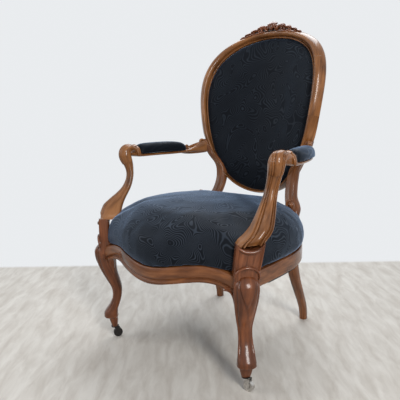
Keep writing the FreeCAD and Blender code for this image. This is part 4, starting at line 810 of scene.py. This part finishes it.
def side_rail():
    """A bowed board with eased edges."""
    x, y = curve(SEAT_SIDE, 160).T
    face = xyz(x * SEAT_HALF, y * REAR_Y, 0)
    inwards = level_sides(face)
    middles = face + inwards * SIDE_RAIL_THICK / 2 + UP * (KNEE + RAIL / 2)
    return tube(middles, inwards, UP, SIDE_RAIL_THICK / 2, RAIL / 2, 64, 0.2)


# Crest carving


def over_rim(turn, high, forward):
    """Points over the oval's top: degrees from its middle, millimetres over the rim's crown and
    forward of the rim's middle."""
    turn, high, forward = arrays(turn, high, forward)
    angle = np.radians(90 - turn)
    start, outwards, front = rim_axes(angle)
    high = 0.9 * rim_wide(angle) + high
    return start + outwards * high[..., None] + front * forward[..., None]


def crest_ground():
    """The carving's ground over the rim, fuller in its middle, between the leaves."""
    turn = np.linspace(-20.5, 20.5, 130)
    off = np.abs(turn)
    high = 20 * bump(off, 0, 4.5) + 12.0 * bump(off, 8.4, 3.4) + 7.5 * bump(off, 13.6, 3.4)
    high += 5.0 - 0.13 * off
    deep = 6.5 - 0.16 * off
    middle = over_rim(turn, high / 2 - 3, -3)
    outer = over_rim(turn, high / 2 - 2, -3) - middle
    front = unit(over_rim(turn, 0, 1) - over_rim(turn, 0, 0))
    grid = tube(middle, unit(outer), front, high / 2 + 3, deep, 30, 0.9)
    return rounded_ends(grid, 2, 2)


def crest_side():
    """One side of the crest: three scrolls of shrinking size with leaves over and under them."""
    grids = []
    scrolls = ((8.4, 8.5, 10.5, 40, 1.25), (13.6, 5.0, 7.6, 50, 1.2), (18.0, 2.2, 5.2, 60, 1.1))
    for turn, high, reach, start, turns in scrolls:
        middle = over_rim(turn, high, 3.5)
        outer = unit(over_rim(turn, high + 1, 3.5) - middle)
        away = unit(over_rim(turn + 1, high, 3.5) - middle)
        thick = (reach * 0.42, reach * 0.24)
        grids.append(scroll(middle, away, outer, reach, turns, radians(start), thick, 1.7))
    leaves = (
        ((3.2, 5.2, 7.4, 9.0, 9.8), (14, 19, 20.5, 18, 14), (1, 2, 3, 5, 7), 7.0),
        ((9.0, 10.6, 12.4, 13.8, 14.6), (12, 14.5, 14.8, 12.5, 9.5), (1, 2, 3, 5, 6), 5.8),
        ((13.8, 15.4, 17.0, 18.4, 19.3), (8, 9.6, 9.6, 7.8, 5.4), (0, 1, 2, 4, 5), 4.8),
        ((18.3, 19.8, 21.2, 22.4, 23.4), (4, 5.0, 4.4, 2.6, 0.4), (0, 0, 1, 1, 1), 4.2),
        ((4.0, 6.4, 9.2, 12.0, 15.0), (0, -2.0, -3.0, -3.4, -3.6), (9, 10.5, 11, 10.5, 9.5), 4.2),
        ((11.0, 13.4, 16.2, 19.0, 21.6), (0.5, -1.2, -2.6, -3.4, -3.8), (8, 9.5, 9.5, 9, 8), 3.6),
    )
    for turns, highs, forwards, wide in leaves:
        path = over_rim(turns, highs, forwards)
        front = over_rim(np.mean(turns), 0, 1) - over_rim(np.mean(turns), 0, 0)
        grids.append(blade(path, front, wide, 3.6, ridge=0.6))
    return grids


def crest_middle():
    """The shell: one broad leaf in seven flutes, |cos| across its width, that rolls backwards over
    a ball between two scrolls."""
    path = over_rim(0, (4, 14, 24, 31, 34), (8, 9, 5, -4, -13))
    front = over_rim(0, 0, 1) - over_rim(0, 0, 0)
    leaf = blade(path, front, 20, 6.0, ridge=0.1, around=72, belly=1.5)
    flutes = 1.6 * np.abs(np.cos(3.5 * pi * np.cos(turns_of(72)))) - 0.8
    knob = over_rim(0, 9, 9.5)
    outer, away = unit(over_rim(0, 10, 9.5) - knob), np.array([1.0, 0, 0])
    grids = [raised(leaf, flutes), ball(knob, away, outer, (6, 6, 6), 1.45, 17)]
    for sign in (-1, 1):
        middle = over_rim(sign * 2.9, 13, 6)
        grids.append(scroll(middle, away * sign, outer, 9.0, 1.2, radians(-100), (4.4, 2.4), 1.6))
    return grids


# Back upholstery

OUTER_BACK = 0.40 * RIM_DEEP       # opening's edge to the cloth over the rear of the back
CLOTH_THICK = 1.5
PIPING = 2.2                       # half the piping's thickness


def back_rings(shares, swells, around=200):
    """The opening's outline shrunk about its middle and moved forwards, row by row."""
    across, up = oval_flat(turns_of(around))
    length = np.hypot(across, up)
    rows = []
    for share, forward in zip(shares, swells):
        grow = share * (1 - 0.3 / length)
        _, _, front = back_axes(across * grow, up * grow)
        rows.append(back_point(across * grow, up * grow) + front * np.reshape(forward, (-1, 1)))
    return np.array(rows)


def back_pad():
    """The stuffed front: it rolls out of the frame at once, then crowns gently. Short pleats run
    in from its edge, closest together where the oval bends."""
    share = 1 - 0.985 * np.linspace(0, 1, 46) ** 1.25
    edge = 1 - share
    crown = 1.09 * (1 - np.exp(-edge / 0.085)) * (1 - 0.10 * bump(edge, 0.16, 0.1)) - 0.10
    turn = turns_of(200)
    pleat = np.abs(np.sin(31 * turn + 1.7 * np.sin(3 * turn))) ** 0.5
    pleats = 1.5 * (pleat - 0.7) * bump(edge[:, None], 0.03, 0.032)
    front = back_rings(share, BACK_SWELL * crown[:, None] + pleats)
    rear = back_rings(np.linspace(1.0, 0.015, 14), np.full(14, -0.10 * BACK_SWELL - 2.0))
    return np.concatenate([front[::-1], rear])


def outside_cloth():
    """The cloth over the rear of the back, tight on its frame, faintly slack in its middle."""
    share = np.linspace(1.0, 0.015, 24)
    rear = 0.8 * np.cos(share * pi / 2) - OUTER_BACK
    return np.concatenate([back_rings(share, rear)[::-1], back_rings(share, rear + CLOTH_THICK)])


def back_piping():
    """The covered roll round the rear cloth's edge."""
    across, up = oval_flat(turns_of(260))
    _, _, front = back_axes(across, up)
    grow = 1 - 2.6 / np.hypot(across, up)
    spots = back_point(across * grow, up * grow) - front * (OUTER_BACK + 1.6)
    ahead = unit(np.roll(spots, -1, 0) - np.roll(spots, 1, 0))
    return tube(spots, unit(np.cross(ahead, front)), front, PIPING, PIPING, 14)


# Finishes


def material(name):
    """A new material, its node tree and its shader."""
    made = bpy.data.materials.new(name)
    made.use_nodes = True
    return made, made.node_tree, made.node_tree.nodes["Principled BSDF"]


def joined(tree, node, inputs):
    """The node with its inputs set to values, or joined to the sockets given."""
    for key, value in inputs.items():
        if isinstance(value, bpy.types.NodeSocket):
            tree.links.new(value, node.inputs[key])
        else:
            node.inputs[key].default_value = value
    return node


def add(tree, kind, inputs=None, **settings):
    """A new node with its settings and inputs."""
    node = tree.nodes.new(f"ShaderNode{kind}")
    for key, value in settings.items():
        setattr(node, key, value)
    return joined(tree, node, inputs or {})


def where(tree, kind="Object"):
    """The place on the piece, in its own metres or on its length map."""
    return add(tree, "TexCoord").outputs[kind]


def reckoned(tree, rule, *values):
    """Values put through one rule of the Math node."""
    return add(tree, "Math", dict(enumerate(values)), operation=rule).outputs[0]


def noise(tree, place, scale, detail, **more):
    """A cloudy field between 0 and 1."""
    inputs = {"Vector": place, "Scale": scale, "Detail": detail, **more}
    return add(tree, "TexNoise", inputs).outputs["Fac"]


def ranged(tree, value, low, high, start=0.0, end=1.0):
    """A value between start and end, spread from low to high."""
    inputs = {"Value": value, "From Min": start, "From Max": end, "To Min": low, "To Max": high}
    return add(tree, "MapRange", inputs).outputs["Result"]


def fine_relief(tree, height, strength, distance, **more):
    """Normals of a fine relief."""
    inputs = {"Height": height, "Strength": strength, "Distance": distance, **more}
    return add(tree, "Bump", inputs).outputs["Normal"]


def ramp(tree, value, places, colours):
    """Colours over places from 0 to 1."""
    node = add(tree, "ValToRGB", {"Fac": value})
    elements = node.color_ramp.elements
    while len(elements) < len(places):
        elements.new(0.5)
    for element, place, colour in zip(elements, places, colours):
        element.position = place
        element.color = (*colour, 1.0)
    return node.outputs["Color"]


def polished_wood(name, tones, along=None, gloss=0.20):
    """Grain stretched along one axis, or along the piece's own length map, with slow clouds of
    colour and a polished coat."""
    made, tree, shader = material(name)
    place = where(tree, "Object" if along else "UV")
    stretch = [9.0, 9.0, 9.0]
    stretch["xyz".index(along or "x")] = 1.2
    drawn = add(tree, "Mapping", {"Vector": place, "Scale": stretch}).outputs["Vector"]
    grain = noise(tree, drawn, 9.0, 6.0, Roughness=0.62, Distortion=0.6)
    streaks = reckoned(tree, "MULTIPLY", grain, 0.62)
    clouds = reckoned(tree, "MULTIPLY", noise(tree, place, 9.0, 2.0), 0.5)
    tone = reckoned(tree, "ADD", streaks, clouds)
    joined(tree, shader, {
        "Base Color": ramp(tree, tone, (0.36, 0.55, 0.74), tones),
        "Roughness": ranged(tree, grain, gloss, gloss + 0.10),
        "Normal": fine_relief(tree, grain, 0.10, 0.0002),
        "Specular IOR Level": 0.22, "Coat Weight": 0.28, "Coat Roughness": 0.09,
    })
    return made


def moire_cloth(name, base, line, contours):
    """Fine contour lines of a slow noise field, as in watered silk, over a dark satin ground."""
    made, tree, shader = material(name)
    place = where(tree)
    field = noise(tree, place, 11.0, 1.0, Roughness=0.35, Distortion=0.25)
    wave = reckoned(tree, "SINE", reckoned(tree, "MULTIPLY", field, contours * 2 * pi))
    lines = ranged(tree, wave, 0.0, 1.0, 0.1, 0.95)
    ridges = fine_relief(tree, wave, 0.35, 0.0004)
    weave = noise(tree, place, 900.0, 2.0)
    shown = reckoned(tree, "MULTIPLY", lines, noise(tree, place, 14.0, 2.0))
    joined(tree, shader, {
        "Base Color": ramp(tree, shown, (0.0, 0.75), (base, line)),
        "Roughness": ranged(tree, lines, 0.62, 0.42),
        "Normal": fine_relief(tree, weave, 0.3, 0.0002, Normal=ridges),
        "Specular IOR Level": 0.08, "Sheen Weight": 0.8, "Sheen Roughness": 0.32,
        "Sheen Tint": CLOTH_SHEEN,
    })
    return made


def woven_cloth(name, warp, weft, pitch):
    """A plain weave: two crossing bands of threads in two tones, by their pitch in metres."""
    made, tree, shader = material(name)
    place = {"Vector": where(tree), "Scale": 1 / (pi * pitch)}
    bands = [add(tree, "TexWave", place, bands_direction=axis).outputs["Fac"] for axis in "XY"]
    weave = reckoned(tree, "MULTIPLY", *bands)
    joined(tree, shader, {
        "Base Color": ramp(tree, weave, (0.1, 0.7), (weft, warp)),
        "Roughness": 0.9,
        "Normal": fine_relief(tree, weave, 0.5, 0.0004),
    })
    return made


def metal(name, colour, rough, shine=1.0):
    """Metal with faint darker stains and a roughness that varies with them."""
    made, tree, shader = material(name)
    stain = noise(tree, where(tree), 160.0, 4.0)
    stained = [value * 0.6 for value in colour]
    joined(tree, shader, {
        "Base Color": ramp(tree, stain, (0.3, 0.65), (stained, colour)),
        "Roughness": ranged(tree, stain, rough, rough + 0.25),
        "Normal": fine_relief(tree, stain, 0.15, 0.0002),
        "Metallic": shine,
    })
    return made


# Darker walnut tones for the crest's ground: painted shade for the recesses between the carved
# leaves.
RECESS_SHADE_TONES = ((0.012, 0.005, 0.003), (0.030, 0.011, 0.006), (0.060, 0.024, 0.012))
WALNUT_TONES = ((0.040, 0.014, 0.006), (0.150, 0.052, 0.018), (0.30, 0.115, 0.042))
RED_TONES = ((0.040, 0.013, 0.006), (0.135, 0.042, 0.016), (0.27, 0.090, 0.034))
# Lighter honey tones: partly real wear, partly painted light where the frame catches reflections.
HONEY_WEAR_AND_LIGHT_TONES = ((0.060, 0.022, 0.008), (0.200, 0.078, 0.024), (0.38, 0.165, 0.058))
CLOTH_SHEEN = (0.35, 0.5, 0.75, 1.0)
CLOTH_GROUND = (0.004, 0.0055, 0.0085)

ALONG_X, ALONG_Y = (
    polished_wood(f"polished_walnut_along_{axis}", WALNUT_TONES, axis) for axis in "xy"
)
RECESS_SHADE_WALNUT = polished_wood("walnut_painted_recess_shade", RECESS_SHADE_TONES, gloss=0.35)
WALNUT = polished_wood("polished_walnut", WALNUT_TONES)
RED_WALNUT = polished_wood("red_walnut", RED_TONES)
HONEY_WEAR_AND_LIGHT_WALNUT = polished_wood("honey_walnut_wear_and_painted_light", HONEY_WEAR_AND_LIGHT_TONES)
MOIRE = moire_cloth("dark_moire", (0.0045, 0.006, 0.009), (0.036, 0.046, 0.062), 46.0)
BACK_MOIRE = moire_cloth("dark_back_moire", CLOTH_GROUND, (0.018, 0.024, 0.033), 40.0)
PAD_CLOTH = moire_cloth("plain_dark_cloth", CLOTH_GROUND, (0.008, 0.011, 0.016), 13.0)
HESSIAN = woven_cloth("hessian", (0.42, 0.31, 0.18), (0.24, 0.17, 0.09), 0.002)
WEBBING = woven_cloth("jute_webbing", (0.5, 0.4, 0.26), (0.26, 0.19, 0.1), 0.0022)
DUST_CLOTH = woven_cloth("black_dust_cloth", (0.03, 0.03, 0.032), (0.012, 0.012, 0.013), 0.0012)
STEEL = metal("worn_steel", (0.62, 0.6, 0.57), 0.25)
# Black metal: the real finish of both caster plates, and painted shade on the right caster's
# wheel, fork and axle.
BLACK_METAL_AND_PAINTED_SHADE = metal("blackened_metal_and_painted_shade", (0.035, 0.032, 0.03), 0.35, shine=0.7)
SPRING_STEEL = metal("spring_steel", (0.4, 0.38, 0.36), 0.3)

FINISHES = {
    "back_seat_rail": ALONG_X, "front_corner_brace": ALONG_X, "rear_corner_brace": ALONG_X,
    "seat_webbing": WEBBING, "back_webbing": WEBBING, "seat_springs": SPRING_STEEL,
    "seat_hessian": HESSIAN, "seat_stuffing": HESSIAN, "seat_dust_cloth": DUST_CLOTH,
    # The right caster's wheel, fork and axle are painted black as shade; the left ones are bare
    # steel.
    "caster_plate": BLACK_METAL_AND_PAINTED_SHADE, "caster_fork": STEEL, "caster_axle": STEEL,
    "caster_wheel_left": STEEL, "caster_wheel_right": BLACK_METAL_AND_PAINTED_SHADE,
    "caster_fork_right": BLACK_METAL_AND_PAINTED_SHADE, "caster_axle_right": BLACK_METAL_AND_PAINTED_SHADE,
    "seat_cover": MOIRE, "back_pad": MOIRE, "arm_pad": PAD_CLOTH, "back_outside_cover": PAD_CLOTH,
}


def finish_for(name):
    """The finish of the longest name that starts the node's name."""
    keys = [key for key in FINISHES if name.startswith(key)]
    return FINISHES[max(keys, key=len)] if keys else ALONG_Y


for name, node in frame["nodes"].items():
    for held in node.material_slots:
        held.material = finish_for(name)


# Upholstery from the CAD's seat

VOXEL = 0.0068                     # metres, the cushion's mesh before it is subdivided
PRESSURE, MOST_SWELL = 4.0, 0.004
CLOTH_STEPS = 20


def evaluated(made, *settings):
    """The mesh after modifiers, each given by its type and settings, which are then taken off."""
    for kind, values in settings:
        modifier = made.modifiers.new(kind, kind)
        for key, value in values.items():
            setattr(modifier, key, value)
    graph = bpy.context.evaluated_depsgraph_get()
    mesh = bpy.data.meshes.new_from_object(made.evaluated_get(graph))
    made.modifiers.clear()
    made.data = mesh


def vectors_of(mesh, key="co"):
    """Three numbers for each of a mesh's vertices, as one array."""
    flat = np.empty(len(mesh.vertices) * 3)
    mesh.vertices.foreach_get(key, flat)
    return flat.reshape(-1, 3)


def set_points(mesh, points):
    """The mesh's vertices moved to their new places."""
    mesh.vertices.foreach_set("co", points.ravel())
    mesh.update()


def relaxed(mesh, passes):
    """Each point drawn halfway to the mean of its neighbours, some times over."""
    ends = np.empty(len(mesh.edges) * 2, int)
    mesh.edges.foreach_get("vertices", ends)
    a, b = ends.reshape(-1, 2).T
    points = vectors_of(mesh)
    many = np.maximum(np.bincount(ends, minlength=len(points)), 1)[:, None]
    for _ in range(passes):
        total = np.stack([
            np.bincount(a, points[b, axis], len(points))
            + np.bincount(b, points[a, axis], len(points)) for axis in range(3)
        ], -1)
        points += (total / many - points) / 2
    set_points(mesh, points)


def swollen(made, held):
    """Cloth with air pressure inside, held where the weights say so, with no point moving further
    than the most that the frame leaves room for."""
    before = vectors_of(made.data)
    group = made.vertex_groups.new(name="held")
    group.add(np.nonzero(held)[0].tolist(), 1.0, "REPLACE")
    cloth = made.modifiers.new("cloth", "CLOTH")
    cloth.settings.vertex_group_mass = "held"
    cloth.settings.use_pressure = True
    cloth.settings.uniform_pressure_force = PRESSURE
    cloth.settings.effector_weights.gravity = 0
    cloth.settings.quality = 5
    cloth.collision_settings.use_collision = False
    cloth.point_cache.frame_start, cloth.point_cache.frame_end = 1, CLOTH_STEPS
    for step in range(CLOTH_STEPS):
        bpy.context.scene.frame_set(step + 1)
    graph = bpy.context.evaluated_depsgraph_get()
    move = vectors_of(made.evaluated_get(graph).data) - before
    made.modifiers.clear()
    bpy.context.scene.frame_set(1)
    length = np.linalg.norm(move, axis=1, keepdims=True)
    set_points(made.data, before + move * np.minimum(1, MOST_SWELL / np.maximum(length, 1e-9)))
    made.vertex_groups.clear()


def seat_cushion():
    """The CAD's cover, merged, remeshed and relaxed, then swollen where it is free of the frame.
    It is drawn up to the legs' blocks, and its front edge follows the rail down at both ends."""
    made = linked("seat_cushion", frame["nodes"]["seat_cover"].data.copy())
    evaluated(made, ("WELD", {"merge_threshold": 0.00002}),
              ("REMESH", {"mode": "VOXEL", "voxel_size": VOXEL, "use_smooth_shade": True}))
    relaxed(made.data, 3)
    points = vectors_of(made.data)
    normals = vectors_of(made.data, "normal")
    outside = (normals * unit(points - placed((0, 200, 330)))).sum(1) > 0.1
    swollen(made, ~outside | (points[:, 2] < 0.365))
    relaxed(made.data, 2)
    points = vectors_of(made.data)
    for sign in (-1, 1):
        away = points[:, :2] - placed((sign * LEG_X, 0, 0))[:2]
        reach = np.linalg.norm(away, axis=1)
        near = 0.013 * bump(reach, 0.050, 0.028) * between(points[:, 2], 0.33, 0.35, 0.425, 0.45)
        points[:, :2] -= away * (near / reach)[:, None]
    front = 1 - rise(points[:, 1] * 1000 + MID_DEPTH, 10, 60)
    low = 1 - rise(points[:, 2] * 1000, 335, 380)
    points[:, 2] -= 0.010 * front * low * rise(np.abs(points[:, 0]) * 1000, 150, 235)
    set_points(made.data, points)
    evaluated(made, ("SUBSURF", {"levels": 1, "render_levels": 1}))
    made.data.materials.clear()
    made.data.materials.append(MOIRE)
    made.data.polygons.foreach_set("use_smooth", np.ones(len(made.data.polygons), bool))
    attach(made, "frame")
    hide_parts("seat_cover")


# The chair's pieces

# The oval frame, arm supports and arms take the honey walnut: wear and painted light together.
piece("oval_frame", [oval_frame()], HONEY_WEAR_AND_LIGHT_WALNUT, loop=True,
      replaces=["back_top_rail", "back_side_rail_left",
                "back_side_rail_right", "back_bottom_rail"])
# The crest's ground takes the darker walnut as painted shade in the carving's recesses.
piece("crest_bed", [crest_ground()], RECESS_SHADE_WALNUT)
piece("crest", crest_side() + [grid * (-1, 1, 1) for grid in crest_side()] + crest_middle(),
      RED_WALNUT, replaces=["crest_carving"])
pair("rear_post", [rear_leg()] + stile_scroll(), WALNUT, nodes=["rear_leg"])
pair("carved_front_leg",
     [cabriole(), leg_block(), lower_block(), notch_lip()] + ear() + [brow()] + block_beads(),
     RED_WALNUT, nodes=["front_leg"])
pair("carved_arm_support", [arm_support()], HONEY_WEAR_AND_LIGHT_WALNUT, nodes=["arm_support"])
pair("carved_arm", [arm(), knuckle()] + arm_collar() + arm_leaves(), HONEY_WEAR_AND_LIGHT_WALNUT, nodes=["arm"])
piece("serpentine_rail", [front_rail()], WALNUT, replaces=["front_seat_rail"])
pair("bowed_side_rail", [side_rail()], WALNUT, nodes=["side_seat_rail"])
for made in pair("padded_armrest", [arm_pad()], PAD_CLOTH, nodes=["arm_pad"], slot="moire_fabric"):
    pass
padded_back = piece("padded_back", [back_pad()], BACK_MOIRE, ["back_pad"], slot="moire_fabric")
piping = piece("back_piping", [back_piping()], PAD_CLOTH, loop=True, slot="backing_cloth")
outer_cloth = piece("outside_back_cloth", [outside_cloth()], PAD_CLOTH, ["back_outside_cover"],
                    slot="backing_cloth")
seat_cushion()


# Floor, light and camera

PALE = (0.82, 0.84, 0.86, 1.0)
WALL_DISTANCE = 2.27               # metres from the camera to where the floor meets the pale wall
FLOOR_HALF = 12.0
CAMERA_PLACE = np.array([0.9039, -0.9926 - MID_DEPTH / 1000, 0.7520])
CAMERA_TURN, CAMERA_TILT, CAMERA_ROLL = np.radians((38.263, 10.383, -0.888))
CAMERA_LEVEL = np.array([-np.sin(CAMERA_TURN), np.cos(CAMERA_TURN), 0])    # straight ahead
FOCAL_SHARE = 466.94 / 400         # focal length over the picture's width
SENSOR = 36


def seen_rays(tree):
    """1 where the camera, a gloss or a glass looks, and 0 for other light."""
    path = add(tree, "LightPath").outputs
    both = reckoned(tree, "MAXIMUM", path["Is Camera Ray"], path["Is Glossy Ray"])
    return reckoned(tree, "MAXIMUM", both, path["Is Transmission Ray"])


def blend(tree, share, first, second, output):
    """Two shaders mixed by a share, joined to the output's surface."""
    mixed = add(tree, "MixShader", {"Fac": share, 1: first.outputs[0], 2: second.outputs[0]})
    tree.links.new(mixed.outputs[0], tree.nodes[output].inputs["Surface"])


def stage():
    """A pale floor of worn boards, which turns into the wall's plain pale tone at a line square to
    the view."""
    made, tree, shader = material("pale_floor")
    place = {"Vector": where(tree), "Rotation": (0, 0, -CAMERA_TURN)}
    turned = add(tree, "Mapping", place).outputs["Vector"]
    drawn = add(tree, "Mapping", {"Vector": turned, "Scale": (5.0, 1.2, 1.0)}).outputs["Vector"]
    grain = noise(tree, drawn, 6.0, 5.0, Roughness=0.6, Distortion=0.4)
    tones = ((0.50, 0.46, 0.41), (0.66, 0.63, 0.58))
    joined(tree, shader, {"Base Color": ramp(tree, grain, (0.30, 0.65), tones), "Roughness": 0.75})
    line = CAMERA_PLACE @ CAMERA_LEVEL + WALL_DISTANCE
    deep = add(tree, "SeparateXYZ", {"Vector": turned}).outputs["Y"]
    beyond = ranged(tree, deep, 0.0, 1.0, line, line + 0.03)
    share = reckoned(tree, "MULTIPLY", beyond, seen_rays(tree))
    glow = add(tree, "Emission", {"Color": PALE, "Strength": 1.0})
    blend(tree, share, shader, glow, "Material Output")
    mesh = bpy.data.meshes.new("floor")
    corners = np.array([(-1, -1, 0), (1, -1, 0), (1, 1, 0), (-1, 1, 0)]) * FLOOR_HALF
    mesh.from_pydata(corners.tolist(), [], [(0, 1, 2, 3)])
    mesh.materials.append(made)
    linked("floor", mesh)


def lamp(name, place, target, width, height, power, colour=(1, 1, 1)):
    """A soft lamp of a width and a height in metres and a power in watts, turned to its target."""
    light = bpy.data.lights.new(name, "AREA")
    light.shape = "RECTANGLE"
    light.size, light.size_y = width, height
    light.energy = power
    light.color = colour
    holder = linked(name, light)
    holder.location = place
    aim = Vector(target) - Vector(place)
    holder.rotation_euler = aim.to_track_quat("-Z", "Y").to_euler()


def world():
    """Soft daylight, with the wall's pale tone where it is seen."""
    made = bpy.data.worlds.new("soft_daylight")
    bpy.context.scene.world = made
    made.use_nodes = True
    tree = made.node_tree
    light = tree.nodes["Background"]
    joined(tree, light, {"Color": (0.60, 0.63, 0.68, 1.0), "Strength": 0.55})
    wall = add(tree, "Background", {"Color": PALE, "Strength": 1.0})
    blend(tree, seen_rays(tree), light, wall, "World Output")


def camera():
    """The photograph's view: turned, tilted down and rolled a little."""
    right = np.array([np.cos(CAMERA_TURN), np.sin(CAMERA_TURN), 0])
    ahead = CAMERA_LEVEL * np.cos(CAMERA_TILT) - UP * np.sin(CAMERA_TILT)
    top = UP * np.cos(CAMERA_TILT) + CAMERA_LEVEL * np.sin(CAMERA_TILT)
    rolled_right = right * np.cos(CAMERA_ROLL) + top * np.sin(CAMERA_ROLL)
    rolled_top = top * np.cos(CAMERA_ROLL) - right * np.sin(CAMERA_ROLL)
    lens = bpy.data.cameras.new("camera")
    lens.lens = FOCAL_SHARE * SENSOR
    lens.sensor_width = SENSOR
    holder = linked("camera", lens)
    axes = np.stack([rolled_right, rolled_top, -ahead, CAMERA_PLACE], axis=1)
    holder.matrix_world = Matrix(axes.tolist() + [[0, 0, 0, 1]])
    bpy.context.scene.camera = holder


stage()
world()
lamp("window", (2.3, -1.5, 1.85), (0, 0, 0.5), 0.5, 1.8, 60, (1.0, 0.98, 0.95))
lamp("fill", (-2.0, -1.6, 1.8), (0, 0, 0.6), 1.6, 1.6, 20)
lamp("top", (-0.5, 1.1, 2.5), (0, 0, 0.5), 1.8, 1.4, 42, (0.94, 0.97, 1.0))
camera()
bpy.context.scene.view_settings.view_transform = "Standard"
